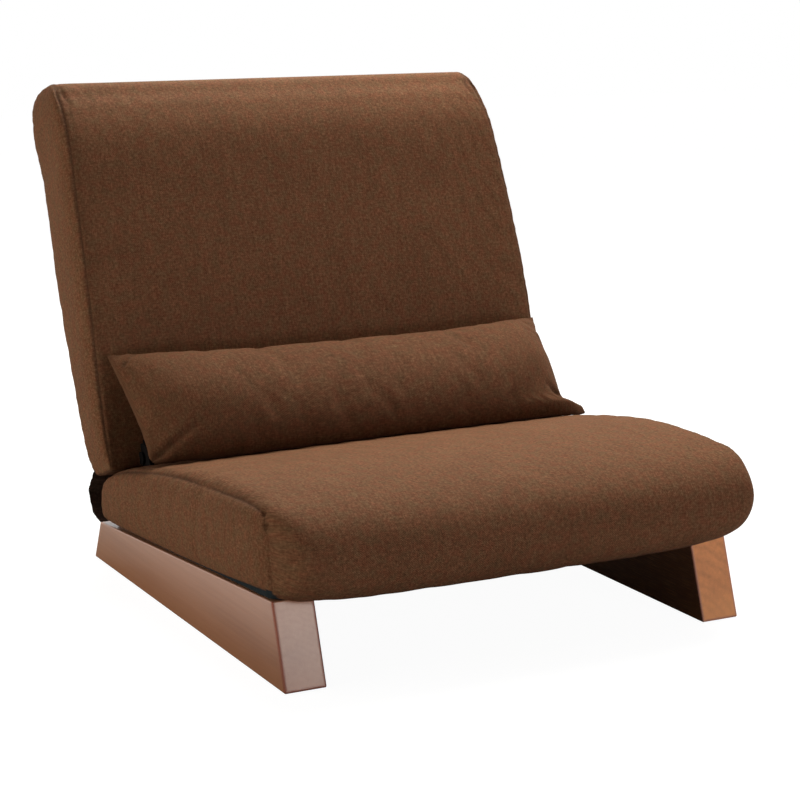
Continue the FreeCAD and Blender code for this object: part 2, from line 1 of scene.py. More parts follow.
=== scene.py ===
# %% [markdown]
# # A low folding lounge chair
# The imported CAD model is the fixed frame: wooden legs, steel tubes, springs, hinges. Blender adds what the eye
# meets first, the puffed cloth pads, the loose pillow, the dark gusset at the hinge and the cloth under the seat,
# and gives every piece its finish. Sizes are in metres, +Z is up, and the sitter looks along -Y.

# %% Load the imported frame
import json
import math
import time

import bmesh
import bpy
from mathutils import Matrix, Vector
from mathutils.bvhtree import BVHTree
from mathutils.kdtree import KDTree


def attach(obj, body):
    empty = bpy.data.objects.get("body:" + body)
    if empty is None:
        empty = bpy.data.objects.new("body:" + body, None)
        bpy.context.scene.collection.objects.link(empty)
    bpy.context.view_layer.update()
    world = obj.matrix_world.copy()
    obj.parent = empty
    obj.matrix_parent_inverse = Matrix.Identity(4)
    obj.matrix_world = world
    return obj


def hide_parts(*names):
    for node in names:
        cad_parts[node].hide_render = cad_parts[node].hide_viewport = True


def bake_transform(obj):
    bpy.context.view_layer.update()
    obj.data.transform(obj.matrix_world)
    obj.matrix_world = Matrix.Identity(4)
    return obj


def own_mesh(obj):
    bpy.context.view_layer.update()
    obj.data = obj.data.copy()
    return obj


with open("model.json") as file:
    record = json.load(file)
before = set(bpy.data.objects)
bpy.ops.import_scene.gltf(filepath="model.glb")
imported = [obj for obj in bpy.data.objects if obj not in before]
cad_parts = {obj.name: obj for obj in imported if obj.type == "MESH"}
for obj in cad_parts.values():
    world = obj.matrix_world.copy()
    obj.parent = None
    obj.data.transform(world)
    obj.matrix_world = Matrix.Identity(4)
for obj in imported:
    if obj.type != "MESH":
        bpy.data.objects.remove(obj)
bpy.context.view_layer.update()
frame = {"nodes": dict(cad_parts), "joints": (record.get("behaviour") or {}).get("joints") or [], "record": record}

# %% [markdown]
# The photograph was taken from the front left, a little above the seat, with a long lens. The camera's place comes
# from the edges of the two legs, which are alike, parallel and upright. It comes first, so that each piece can be
# held against the photograph as soon as it is made.

# %% Camera at the photograph's place
camera_place = (-1.289, -2.558, 0.848)
camera_turn = 27.45
camera_down = 11.95
photo_width = 800
focal_pixels = 2149
film_width = 36.0
bpy.ops.object.camera_add(location=camera_place)
camera = bpy.context.object
camera.rotation_euler = (math.radians(90 - camera_down), 0, math.radians(-camera_turn))
camera.data.sensor_width = film_width
camera.data.lens = focal_pixels / photo_width * film_width
camera.data.clip_end = 50
bpy.context.scene.camera = camera
print("lens", round(camera.data.lens, 1), "mm")

# %% [markdown]
# The pads are drawn on two slanting planes, as they are cut: the seat's on the plane of the leg tops, and the
# back's along its front face, from the hinge pin upwards. These two helpers turn such a place into the row's frame.

# %% Planes of the seat and the back
leg_top_front = Vector((0, -0.370, 0.103))
deck_slope = math.radians(4.376)
hinge_joint = next(joint for joint in frame["joints"] if joint["name"] == "back_fold")
hinge_pin = Vector(hinge_joint["pos_m"])
back_lean = math.radians(20.5)
deck_turn = Matrix.Rotation(-deck_slope, 3, "X")
back_turn = Matrix.Rotation(-back_lean, 3, "X")


def on_deck(x, along, up):
    return leg_top_front + deck_turn @ Vector((x, along, up))


def on_back(x, depth, rise):
    return Vector((0, hinge_pin.y, hinge_pin.z)) + back_turn @ Vector((x, depth, rise))


def deselect_all():
    if bpy.context.object and bpy.context.object.mode == "EDIT":
        bpy.ops.object.mode_set(mode="OBJECT")
    bpy.ops.object.select_all(action="DESELECT")


def only(piece):
    deselect_all()
    piece.select_set(True)
    bpy.context.view_layer.objects.active = piece
    return piece


# %% [markdown]
# A smooth closed line through a few corners is what a paper pattern gives: the outline of a side panel. The line
# passes through every corner, and each run between two of the four pattern corners gets its own number of points.

# %% Smooth outline through pattern corners
def smooth_between(a, b, c, d, t):
    return tuple(0.5 * (2 * q + (r - p) * t + (2 * p - 5 * q + 4 * r - s) * t * t + (3 * q - p - 3 * r + s) * t ** 3)
                 for p, q, r, s in zip(a, b, c, d))


def clamped(t):
    return min(1.0, max(0.0, t))


def soft_step(t):
    t = clamped(t)
    return t * t * (3 - 2 * t)


def crowded(t, crowding):
    """Moves t, from -1 to 1, towards its ends, so that points crowd where the seams are."""
    return t + crowding * math.sin(math.pi * t) / math.pi


run_crowding = 0.55


def smooth_ring(runs, counts, fineness=24):
    corners = [point for run in runs for point in run[:-1]]
    ring = []
    start = 0
    for run, count in zip(runs, counts):
        fine = []
        for i in range(len(run) - 1):
            k = start + i
            four = [corners[(k + j) % len(corners)] for j in (-1, 0, 1, 2)]
            fine += [smooth_between(*four, step / fineness) for step in range(fineness)]
        fine.append(run[-1])
        start += len(run) - 1
        lengths = [0.0]
        for p, q in zip(fine, fine[1:]):
            lengths.append(lengths[-1] + math.dist(p, q))
        k = 0
        for i in range(count):
            aim = lengths[-1] * (1 + crowded(2 * i / count - 1, run_crowding)) / 2
            while lengths[k + 1] < aim:
                k += 1
            share = (aim - lengths[k]) / max(lengths[k + 1] - lengths[k], 1e-9)
            ring.append(tuple(p + (q - p) * share for p, q in zip(fine[k], fine[k + 1])))
    return ring


# %% [markdown]
# Each pad's cover is one long band that goes round the foam, closed by two side panels, as the seams in the
# photograph show. The mesh is built the same way: a ring of points is extruded across the chair, cut into
# columns, and its two ends are filled with a grid. Seams then fall exactly on edges of the mesh.

# %% Band and side panels from one ring
def band_of_cloth(name, ring_count, columns):
    bpy.ops.mesh.primitive_circle_add(vertices=ring_count, radius=1.0, fill_type="NOTHING")
    pad = bpy.context.object
    pad.name = name
    pad.data.name = name
    bpy.ops.object.mode_set(mode="EDIT")
    bpy.ops.mesh.select_all(action="SELECT")
    bpy.ops.mesh.extrude_region_move(TRANSFORM_OT_translate={"value": (0, 0, 1)})
    bpy.ops.mesh.select_mode(type="EDGE")
    bpy.ops.mesh.select_all(action="DESELECT")
    work = bmesh.from_edit_mesh(pad.data)
    for edge in work.edges:
        edge.select_set(abs(edge.verts[0].co.z - edge.verts[1].co.z) > 0.5)
    bmesh.update_edit_mesh(pad.data)
    bpy.ops.mesh.subdivide(number_cuts=columns - 1)
    bpy.ops.object.mode_set(mode="OBJECT")
    return pad


def fill_side_panel(pad, side, long_count):
    bpy.ops.object.mode_set(mode="EDIT")
    bpy.ops.mesh.select_mode(type="EDGE")
    bpy.ops.mesh.select_all(action="DESELECT")
    work = bmesh.from_edit_mesh(pad.data)
    work.verts.ensure_lookup_table()
    for edge in work.edges:
        edge.select_set(edge.is_boundary and all(abs(vertex.co.z - side) < 0.001 for vertex in edge.verts))
    first = next(vertex for vertex in work.verts if abs(vertex.co.z - side) < 0.001 and vertex.co.y > 0.99999)
    work.select_history.clear()
    work.select_history.add(first)
    bmesh.update_edit_mesh(pad.data)
    bpy.ops.mesh.fill_grid(span=long_count)
    bpy.ops.object.mode_set(mode="OBJECT")


def straight_walk(start, ahead, on_ring):
    """The line of points that crosses a panel from one ring point, edge after edge straight on."""
    line = [start, ahead]
    while ahead not in on_ring:
        came = next(edge for edge in ahead.link_edges if edge.other_vert(ahead) == start)
        beside = {edge for face in came.link_faces for edge in face.edges}
        onward = next(edge for edge in ahead.link_edges if edge not in beside)
        start, ahead = ahead, onward.other_vert(ahead)
        line.append(ahead)
    return line


# %% [markdown]
# The band and its panels are only numbers so far: every point knows its column across the chair and its place on
# the ring. A pad gives two functions that turn these into places. The weave's pattern map is laid at the same
# time, in metres: across the chair and round the band, and along and up each side panel, as the cloth was cut.

# %% Sewing a pad together
def sew_pad(name, counts, band_point, panel_point, band_run, panel_pattern, columns=84, crowding=0.62):
    ring_count = sum(counts)
    long_count = counts[0]
    pad = band_of_cloth(name, ring_count, columns)
    for side in (0, 1):
        fill_side_panel(pad, side, long_count)
    work = bmesh.new()
    work.from_mesh(pad.data)
    work.verts.ensure_lookup_table()
    spot = {}
    for vertex in work.verts:
        if vertex.co.xy.length > 0.9995:
            turn = math.atan2(-vertex.co.x, vertex.co.y) / (2 * math.pi) * ring_count
            spot[vertex] = (round(vertex.co.z * columns), round(turn) % ring_count)
    at_spot = {where: vertex for vertex, where in spot.items()}
    places = {}
    for vertex, (column, k) in spot.items():
        places[vertex] = band_point(crowded(2 * column / columns - 1, crowding), k)
    for side, column in ((-1, 0), (1, columns)):
        ring = {at_spot[(column, k)] for k in range(ring_count)}
        for k in range(1, long_count):
            start = at_spot[(column, k)]
            inner = [edge.other_vert(start) for edge in start.link_edges
                     if edge.other_vert(start) not in ring and abs(edge.other_vert(start).co.z - start.co.z) < 1e-4]
            line = straight_walk(start, inner[0], ring)
            for step, vertex in enumerate(line[1:-1], 1):
                places[vertex] = panel_point(side, k, step)
    for vertex, place in places.items():
        vertex.co = place
    bmesh.ops.recalc_face_normals(work, faces=work.faces)
    if work.calc_volume(signed=True) < 0:
        bmesh.ops.reverse_faces(work, faces=work.faces)
    pattern = work.loops.layers.uv.new("pattern")
    for face in work.faces:
        met = {spot.get(vertex, (None,))[0] for vertex in face.verts}
        for loop in face.loops:
            if len(met) == 1 or None in met:
                loop[pattern].uv = panel_pattern(loop.vert.co)
            else:
                column, k = spot[loop.vert]
                wraps = k == 0 and any(spot[vertex][1] == ring_count - 1 for vertex in face.verts)
                loop[pattern].uv = (loop.vert.co.x, band_run[ring_count if wraps else k])
    sewn = [vertex.index for vertex, (column, k) in spot.items() if column in (0, columns)]
    work.to_mesh(pad.data)
    work.free()
    pad.data.update()
    print(name, "sewn from", len(pad.data.vertices), "points")
    return pad, sewn


def ring_run(ring):
    """The length along a ring up to each of its points, in metres, and once round."""
    run = [0.0]
    for p, q in zip(ring, ring[1:] + ring[:1]):
        run.append(run[-1] + math.dist(p, q))
    return run


def panel_between(ring, counts, k, step):
    """A place inside a side panel, blended from the four runs of its outline, and its shares along and up."""
    a, b = counts[:2]
    u = (1 + crowded(2 * k / a - 1, run_crowding)) / 2
    v = (1 + crowded(2 * step / b - 1, run_crowding)) / 2
    low, high = Vector(ring[k]), Vector(ring[2 * a + b - k])
    front, rear = Vector(ring[-step % len(ring)]), Vector(ring[a + step])
    across = (Vector(ring[0]) * (1 - u) + Vector(ring[a]) * u) * (1 - v)
    across += (Vector(ring[2 * a + b]) * (1 - u) + Vector(ring[a + b]) * u) * v
    return low * (1 - v) + high * v + front * (1 - u) + rear * u - across, u, v


def bowed(u, v):
    """How far a side panel bows out at its shares along and up: 1 in the middle, 0 on the seams."""
    return (1 - (2 * u - 1) ** 12) * (1 - (2 * v - 1) ** 6)


# %% [markdown]
# Puffing is done as a real cover is filled: the seams are held, the cloth between them is a little too long, and
# air pressure pushes it out. The surplus length gathers into small puckers beside the seams. The foam inside holds
# the rest of the cloth softly, and no point may move further than a cap, so the pad keeps the outline of its cut.

# %% Cloth simulation that puffs a pad
simulation_seconds = 0.0
cover_cloth = {"quality": 6, "mass": 0.25, "tension_stiffness": 18, "compression_stiffness": 18, "shear_stiffness": 6,
               "bending_stiffness": 0.4, "use_pressure": True, "vertex_group_mass": "held"}
held_softly, held_fast = 0.9, 1.0


def puff(pad, sewn, foam_hold, pressure, cap, surplus, resting=(), frames=20):
    """sewn and resting are indices of points that are held; the rest is held as softly as foam_hold says."""
    global simulation_seconds
    began = time.time()
    only(pad)
    held = pad.vertex_groups.new(name="held")
    held.add(list(range(len(pad.data.vertices))), foam_hold, "REPLACE")
    held.add(list(resting), held_softly, "REPLACE")
    held.add(list(sewn), held_fast, "REPLACE")
    start = [vertex.co.copy() for vertex in pad.data.vertices]
    air = pad.modifiers.new("air", "CLOTH")
    for setting, value in {**cover_cloth, "uniform_pressure_force": pressure, "shrink_min": -surplus}.items():
        setattr(air.settings, setting, value)
    air.settings.effector_weights.gravity = 0
    air.point_cache.frame_start = 1
    air.point_cache.frame_end = frames
    for step in range(1, frames + 1):
        bpy.context.scene.frame_set(step)
    bpy.ops.object.modifier_apply(modifier="air")
    bpy.context.scene.frame_set(1)
    moves = [vertex.co - rest for vertex, rest in zip(pad.data.vertices, start)]
    for vertex, rest, move in zip(pad.data.vertices, start, moves):
        if move.length > 1e-6:
            vertex.co = rest + move.normalized() * cap * math.tanh(move.length / cap)
    pad.vertex_groups.clear()
    simulation_seconds += time.time() - began
    lengths = sorted(move.length * 1000 for move in moves)
    print(pad.name, "puffed: half the points moved", round(lengths[len(lengths) // 2], 1), "mm or more, the furthest",
          round(lengths[-1], 1), "mm, in", round(time.time() - began, 1), "s")


def finer(piece, levels=1):
    only(piece)
    smooth = piece.modifiers.new("finer", "SUBSURF")
    smooth.levels = levels
    smooth.render_levels = levels
    bpy.ops.object.modifier_apply(modifier="finer")
    bpy.ops.object.shade_smooth()
    return piece


# %% [markdown]
# A seam pulls the cloth into a narrow groove, and its stitches gather the cloth beside it. The groove and the gathers
# are pressed into the fine mesh. One attribute marks the seam line, which the finish darkens, partly as a dark joint
# and partly as painted shade in the groove; tucks add painted shade to it. A second attribute marks a soft band on
# the face beside each seam, which the finish darkens as painted shade.

# %% Seam grooves and gathers
def wobble(t, seed):
    return (math.sin(t + seed) + 0.6 * math.sin(2.3 * t + 1.7 * seed) + 0.35 * math.sin(5.1 * t + 0.6 * seed)) / 1.95


def fine_line(corners, pitch=0.001):
    """Closely spaced places along a line through corners, each with its run from the start."""
    line = []
    run = 0.0
    for p, q in zip(corners, corners[1:]):
        length = (q - p).length
        count = max(1, round(length / pitch))
        line += [(p.lerp(q, i / count), run + length * i / count) for i in range(count)]
        run += length
    return line


# Widths of the darkened seam line and of the band of painted shade beside each seam.
stitch_width, seam_side_shade_width = 0.0017, 0.007


def press_seams(pad, seams, depth=0.0016, width=0.0026, gather=0.0008, reach=0.012, pitch=0.021):
    line = [spot for corners in seams for spot in fine_line(corners)]
    tree = KDTree(len(line))
    for i, (place, _) in enumerate(line):
        tree.insert(place, i)
    tree.balance()
    seam = pad.data.attributes.new("seam", "FLOAT", "POINT")
    seam_side_shade = pad.data.attributes.new("seam_side_shade", "FLOAT", "POINT")
    normals = [vertex.normal.copy() for vertex in pad.data.vertices]
    for vertex, normal in zip(pad.data.vertices, normals):
        _, i, distance = tree.find(vertex.co)
        if distance > 4 * reach:
            continue
        groove = math.exp(-(distance / width) ** 2)
        fade = math.exp(-distance / reach) * min(1.0, distance / (2 * width))
        ripple = wobble(line[i][1] / pitch * 2 * math.pi, 1.3)
        vertex.co += normal * (gather * fade * ripple - depth * groove)
        seam.data[vertex.index].value = math.exp(-(distance / stitch_width) ** 2)
        # Painted shade: a soft band beside the seam is marked on the faces, not on the side panels.
        if abs(normal.x) < 0.8:
            seam_side_shade.data[vertex.index].value = math.exp(-distance / seam_side_shade_width)


def press_pleat(pad, start, end, depth=0.0035, width=0.0030):
    """A short tuck, deepest near its start, with a small ridge beside it. Its groove is marked for painted shade."""
    seam = pad.data.attributes["seam"]
    run = end - start
    normals = [vertex.normal.copy() for vertex in pad.data.vertices]
    for vertex, normal in zip(pad.data.vertices, normals):
        share = (vertex.co - start).dot(run) / run.length_squared
        if not -0.2 < share < 1.2:
            continue
        distance = (vertex.co - start - run * share).length
        if distance > 6 * width:
            continue
        fade = math.cos(math.pi / 2 * min(1.0, abs(share - 0.3) / 0.9))
        groove = math.exp(-(distance / width) ** 2)
        ridge = math.exp(-((distance - 2.4 * width) / (1.2 * width)) ** 2)
        vertex.co += normal * fade * depth * (0.2 * ridge - groove)
        # Painted shade: the tuck's groove is marked together with the seam lines for darkening.
        seam.data[vertex.index].value = max(seam.data[vertex.index].value, groove * fade)


# %% [markdown]
# Both pads take the same steps: sew, puff, refine, press the seams. A pad differs in its outlines, in what lies
# still while it is puffed, and in the plane it is drawn on.

# %% One pad from its outlines
def make_pad(name, counts, rings, band_point, panel_point, edge_point, to_plane, lies_still, surplus):
    """Rings are the side outline and the middle one; to_plane turns a place back into along and up."""
    side_ring, middle_ring = rings
    deselect_all()
    pad, sewn = sew_pad(name, counts, band_point, panel_point, ring_run(middle_ring),
                        lambda place: to_plane(place).yz)
    resting = [vertex.index for vertex in pad.data.vertices if lies_still(*to_plane(vertex.co))]
    puff(pad, sewn, foam_hold=0.20, pressure=4.0, cap=0.008, surplus=surplus, resting=resting)
    finer(pad)
    press_seams(pad, [[edge_point(side, *point) for point in side_ring + side_ring[:1]] for side in (-1, 1)])
    return pad


# %% [markdown]
# The seat pad: flat underneath, where it lies on the tubes, with a full roll at its front that hangs over the
# legs. The roll swells forward in the middle of the chair and the top has a gentle crown. In the photograph the pad
# sits 10 mm to the right of the legs' middle and has settled towards the left. Its outlines are drawn first, as
# along and up from the front top corner of the legs, in metres: the side panels' and the middle's.

# %% Seat pad
seat_counts = (72, 16, 72, 16)
seat_half = 0.3320
seat_shift = 0.0102
seat_side_runs = [
    [(-0.004, 0.013), (0.016, 0.011), (0.060, 0.009), (0.160, 0.006), (0.330, 0.005), (0.540, 0.008),
     (0.563, 0.015)],
    [(0.563, 0.015), (0.569, 0.028), (0.567, 0.045), (0.556, 0.062)],
    [(0.556, 0.062), (0.521, 0.078), (0.459, 0.092), (0.370, 0.103), (0.268, 0.111), (0.180, 0.113), (0.100, 0.112),
     (0.040, 0.109), (0.009, 0.102)],
    [(0.009, 0.102), (0.000, 0.086), (-0.003, 0.055), (-0.004, 0.026), (-0.004, 0.013)],
]
seat_middle_runs = [
    [(-0.048, 0.001), (-0.020, -0.003), (0.010, 0.001), (0.160, 0.003), (0.330, 0.003), (0.540, 0.006),
     (0.568, 0.013)],
    [(0.568, 0.013), (0.573, 0.027), (0.570, 0.045), (0.558, 0.063)],
    [(0.558, 0.063), (0.521, 0.081), (0.459, 0.096), (0.370, 0.109), (0.268, 0.121), (0.180, 0.127), (0.100, 0.126),
     (0.030, 0.120), (-0.028, 0.106)],
    [(-0.028, 0.106), (-0.066, 0.081), (-0.079, 0.050), (-0.071, 0.020), (-0.048, 0.001)],
]
seat_side_ring = smooth_ring(seat_side_runs, seat_counts)
seat_middle_ring = smooth_ring(seat_middle_runs, seat_counts)
seat_bow = 0.010
seat_settled = 0.026
seat_round_left, seat_round_right = 10, 5.5
seat_square_along, seat_square_up = 40, 50
seat_lies_below = 0.016
tube_clear = 0.0012


def to_deck(place):
    return deck_turn.inverted() @ (place - leg_top_front)


def on_seat(x, along, up):
    """The pad has settled a little to the left: its top is a few millimetres lower there."""
    settled = seat_settled * (x - seat_shift) / seat_half * soft_step(along / 0.2)
    return on_deck(x, along, up * (1 + settled))


def seat_band(share, k):
    """Round under the roll, where nothing holds the cloth, square where the foam is firm, flat on the tubes."""
    (side_along, side_up), (middle_along, middle_up) = seat_side_ring[k], seat_middle_ring[k]
    firm = clamped(max(middle_up / 0.06, middle_along / 0.05))
    out = abs(share)
    low = seat_round_right if share > 0 else seat_round_left
    along_curve = 0.2 * out ** 4 + 0.8 * out ** (low + (seat_square_along - low) * firm)
    up_curve = 0.1 * out ** 3 + 0.9 * out ** (low + (seat_square_up - low) * firm)
    underneath = k < seat_counts[0]
    if underneath:
        up_curve += (out ** 500 - up_curve) * soft_step(side_along / 0.02)
    along = side_along + (middle_along - side_along) * (1 - along_curve)
    up = side_up + (middle_up - side_up) * (1 - up_curve)
    if underneath and along > -0.004:
        up = max(up, tube_clear)
    return on_seat(seat_shift + share * seat_half, along, up)


def seat_panel(side, k, step):
    (along, up), u, v = panel_between(seat_side_ring, seat_counts, k, step)
    return on_seat(seat_shift + side * (seat_half + seat_bow * bowed(u, v)), along, up)


def seat_edge(side, along, up, inward=0.0):
    return on_seat(seat_shift + side * (seat_half - inward), along, up)


seat_pad = make_pad("seat_pad", seat_counts, (seat_side_ring, seat_middle_ring), seat_band, seat_panel, seat_edge,
                    to_deck, lambda x, along, up: up < seat_lies_below and along > 0.0, surplus=0.004)

# %% [markdown]
# The pad's underside is a thin dark lining instead of the brown cloth. It shows in the gap above the left leg, so an
# attribute tells the finish where it is. Two tucks at each front corner then take in the cloth of the roll.

# %% Lining and tucks of the seat pad
lined = seat_pad.data.attributes.new("lining", "FLOAT", "POINT")
for vertex in seat_pad.data.vertices:
    x, along, up = to_deck(vertex.co)
    within = seat_half - abs(x - seat_shift) > 0.0004 and along > -0.002
    lined.data[vertex.index].value = float(within and up < seat_lies_below and vertex.normal.z < 0.3)
print("lining on", sum(share.value > 0.5 for share in lined.data), "points")
# Each tuck's groove is also darkened in the finish, as painted shade.
for side in (-1, 1):
    press_pleat(seat_pad, seat_edge(side, 0.008, 0.103), seat_edge(side, 0.024, 0.112, 0.022), 0.0045)
    press_pleat(seat_pad, seat_edge(side, 0.002, 0.090), seat_edge(side, -0.016, 0.094, 0.018))

# %% [markdown]
# The back pad has the same build on its own plane: outline points are depth behind the front face and rise from
# the hinge pin. Its top is a roll and its lower end is thin, to pass the hinge. It narrows a little upwards and
# tapers towards its rear, and in the photograph its lower part stands 5 mm further to the right than its top.

# %% Back pad
back_counts = (72, 18, 72, 14)
back_side_runs = [
    [(0.006, -0.008), (0.005, 0.030), (0.003, 0.110), (-0.004, 0.201), (-0.006, 0.281), (-0.005, 0.351),
     (-0.003, 0.446), (0.011, 0.495), (0.025, 0.520)],
    [(0.025, 0.520), (0.035, 0.538), (0.049, 0.547), (0.087, 0.552), (0.120, 0.550), (0.139, 0.541), (0.146, 0.526),
     (0.139, 0.508)],
    [(0.139, 0.508), (0.126, 0.488), (0.128, 0.448), (0.118, 0.363), (0.119, 0.286), (0.116, 0.223), (0.100, 0.134),
     (0.086, 0.040), (0.078, -0.006)],
    [(0.078, -0.006), (0.058, -0.010), (0.040, -0.012), (0.022, -0.011), (0.006, -0.008)],
]
back_middle_runs = [
    [(0.008, -0.008), (0.004, 0.030), (-0.004, 0.110), (-0.011, 0.201), (-0.012, 0.281), (-0.011, 0.351),
     (-0.009, 0.446), (0.007, 0.496), (0.024, 0.522)],
    [(0.024, 0.522), (0.035, 0.539), (0.050, 0.546), (0.088, 0.549), (0.115, 0.545), (0.132, 0.536), (0.138, 0.523),
     (0.136, 0.508)],
    [(0.136, 0.508), (0.129, 0.490), (0.134, 0.448), (0.124, 0.363), (0.125, 0.286), (0.122, 0.223), (0.104, 0.134),
     (0.086, 0.040), (0.073, -0.006)],
    [(0.073, -0.006), (0.056, -0.011), (0.040, -0.013), (0.024, -0.011), (0.008, -0.008)],
]
back_side_ring = smooth_ring(back_side_runs, back_counts)
back_middle_ring = smooth_ring(back_middle_runs, back_counts)
back_half_low = 0.346
back_narrowing = 0.0175
back_taper = 0.006
back_shift = 0.0105
back_drift = 0.0055
back_rise = 0.547
back_bow = 0.009


def to_back(place):
    return back_turn.inverted() @ (place - Vector((0, hinge_pin.y, hinge_pin.z)))


def back_half(depth, rise):
    narrowing = back_narrowing * clamped(rise / back_rise) ** 2.2
    tapering = back_taper * (1 - soft_step((rise - 0.42) / 0.09))
    return back_half_low - narrowing - tapering * clamped(depth / 0.12) ** 1.5


def back_centre(rise):
    return back_shift + back_drift * (1 - clamped(rise / 0.52) ** 3)


def back_edge(side, depth, rise, outward=0.0):
    return on_back(back_centre(rise) + side * (back_half(depth, rise) + outward), depth, rise)


def back_band(share, k):
    swell = 1 - 0.4 * abs(share) ** 3 - 0.6 * abs(share) ** 30
    depth, rise = (s + (m - s) * swell for s, m in zip(back_side_ring[k], back_middle_ring[k]))
    return back_edge(share, depth, rise)


def back_panel(side, k, step):
    (depth, rise), u, v = panel_between(back_side_ring, back_counts, k, step)
    return back_edge(side, depth, rise, back_bow * bowed(u, v))


back_pad = make_pad("back_pad", back_counts, (back_side_ring, back_middle_ring), back_band, back_panel, back_edge,
                    to_back, lambda x, depth, rise: rise < 0.004, surplus=0.003)
# Each pleat's groove is also darkened in the finish, as painted shade.
for side in (-1, 1):
    corner = back_shift + side * back_half(0.040, 0.535)
    press_pleat(back_pad, on_back(corner - side * 0.003, 0.036, 0.538), on_back(corner - side * 0.012, 0.014, 0.508),
                0.0012, 0.0035)

# %% [markdown]
# The loose pillow is two equal panels of cloth sewn face to face and filled. Where two flat panels meet, the seam
# stays a thin edge, the four corners stick out as ears and the seams between them are drawn in. A fine grid is
# extruded once, so that it has both panels, and each point gets its place from its shares along and up. Its middle
# hangs lower than its corners and leans forward, and its lower right corner is folded over to a small tongue.

# %% Lumbar pillow
pillow_half = 0.3355
pillow_flare = 0.0015
pillow_shift = 0.0182
pillow_top = Vector((-0.016, 0.143))
pillow_low = Vector((-0.119, -0.016))
pillow_swell_front = 0.064
pillow_swell_rear = 0.028
pillow_sag = 0.019
pillow_slip = 0.026
pillow_drawn_left, pillow_drawn_right, pillow_drawn_up = 0.012, 0.064, 0.033
pillow_droop = 0.005
pillow_edge = 0.0025
pillow_columns, pillow_rows = 112, 38
pillow_crowding = 0.5
pillow_up = (pillow_top - pillow_low) / 2
pillow_middle = (pillow_top + pillow_low) / 2
pillow_out = Vector((-pillow_up.y, pillow_up.x)).normalized()


def pillow_point(u, v, front):
    drawn = (1 - abs(v) ** 2.5) * (1 - 0.45 * v)
    if u > 0 > v:
        drawn = (1 - 0.32 * v) * (1 - soft_step((-v - 0.73) / 0.16))
    ear_u = 1 - (pillow_drawn_right if u > 0 else pillow_drawn_left) * drawn
    ear_v = 1 - pillow_drawn_up * (1 - abs(u) ** 5)
    fullness = 8 - 3 * clamped(-2 * v - 0.2)
    swell = max(0.0, 1 - abs(v) ** 2.1) ** 0.56 * max(0.0, 1 - abs(u) ** fullness) ** 0.7
    reach = pillow_edge / 2 + (pillow_swell_front if front else pillow_swell_rear) * swell
    depth, rise = pillow_middle + pillow_up * v * ear_v + pillow_out * (reach if front else -reach)
    droop = pillow_droop * soft_step((abs(u) - 0.8) / 0.2) * soft_step((-v - 0.5) / 0.5)
    rise -= droop + pillow_sag * (1 - abs(u) ** 3.75)
    depth -= pillow_slip * (1 - u ** 4) * (1 - v) / 2
    half = pillow_half + pillow_flare * (1 + v) / 2
    return on_back(pillow_shift + half * u * ear_u, depth, rise)


def new_grid(name, columns, rows):
    deselect_all()
    bpy.ops.mesh.primitive_grid_add(x_subdivisions=columns, y_subdivisions=rows, size=2)
    grid = bpy.context.object
    grid.name = grid.data.name = name
    return grid


def lay_pattern(piece, across, along, beside=0.0):
    """The pattern map in metres, taken while the piece is a flat grid; a second layer lies beside the first."""
    piece.data.uv_layers.remove(piece.data.uv_layers[0])
    pattern = piece.data.uv_layers.new(name="pattern")
    for loop in piece.data.loops:
        spot = piece.data.vertices[loop.vertex_index].co
        pattern.data[loop.index].uv = (spot.x * across, spot.y * along + spot.z * beside)


lumbar_pillow = new_grid("lumbar_pillow", pillow_columns, pillow_rows)
bpy.ops.object.mode_set(mode="EDIT")
bpy.ops.mesh.select_all(action="SELECT")
bpy.ops.mesh.extrude_region_move(TRANSFORM_OT_translate={"value": (0, 0, 1)})
bpy.ops.mesh.select_all(action="SELECT")
bpy.ops.mesh.normals_make_consistent(inside=False)
bpy.ops.object.mode_set(mode="OBJECT")
lay_pattern(lumbar_pillow, pillow_half, 0.11, 0.4)
pillow_seam = []
for vertex in lumbar_pillow.data.vertices:
    x, y, z = vertex.co
    if max(abs(x), abs(y)) > 0.999:
        pillow_seam.append(vertex.index)
    vertex.co = pillow_point(crowded(x, pillow_crowding), crowded(y, pillow_crowding), z > 0.5)
puff(lumbar_pillow, pillow_seam, foam_hold=0.14, pressure=4.0, cap=0.010, surplus=0.012)
finer(lumbar_pillow)

# %% [markdown]
# The pillow lies in the corner between seat and back, and yields where it touches them. Every point that would be
# inside a pad is moved out to its surface, a millimetre clear of it. Then its seam is gathered, and a short tuck in
# each corner shows where the filling ends.

# %% Pillow pressed into its corner
def press_clear(piece, pad, clear=0.001):
    surface = BVHTree.FromObject(pad, bpy.context.evaluated_depsgraph_get())
    moved = 0
    for vertex in piece.data.vertices:
        place, normal, _, _ = surface.find_nearest(vertex.co, 0.08)
        if place and (vertex.co - place).dot(normal) < clear:
            vertex.co = place + normal * clear
            moved += 1
    piece.data.update()
    print(piece.name, "is pressed clear of", pad.name, "at", moved, "points")


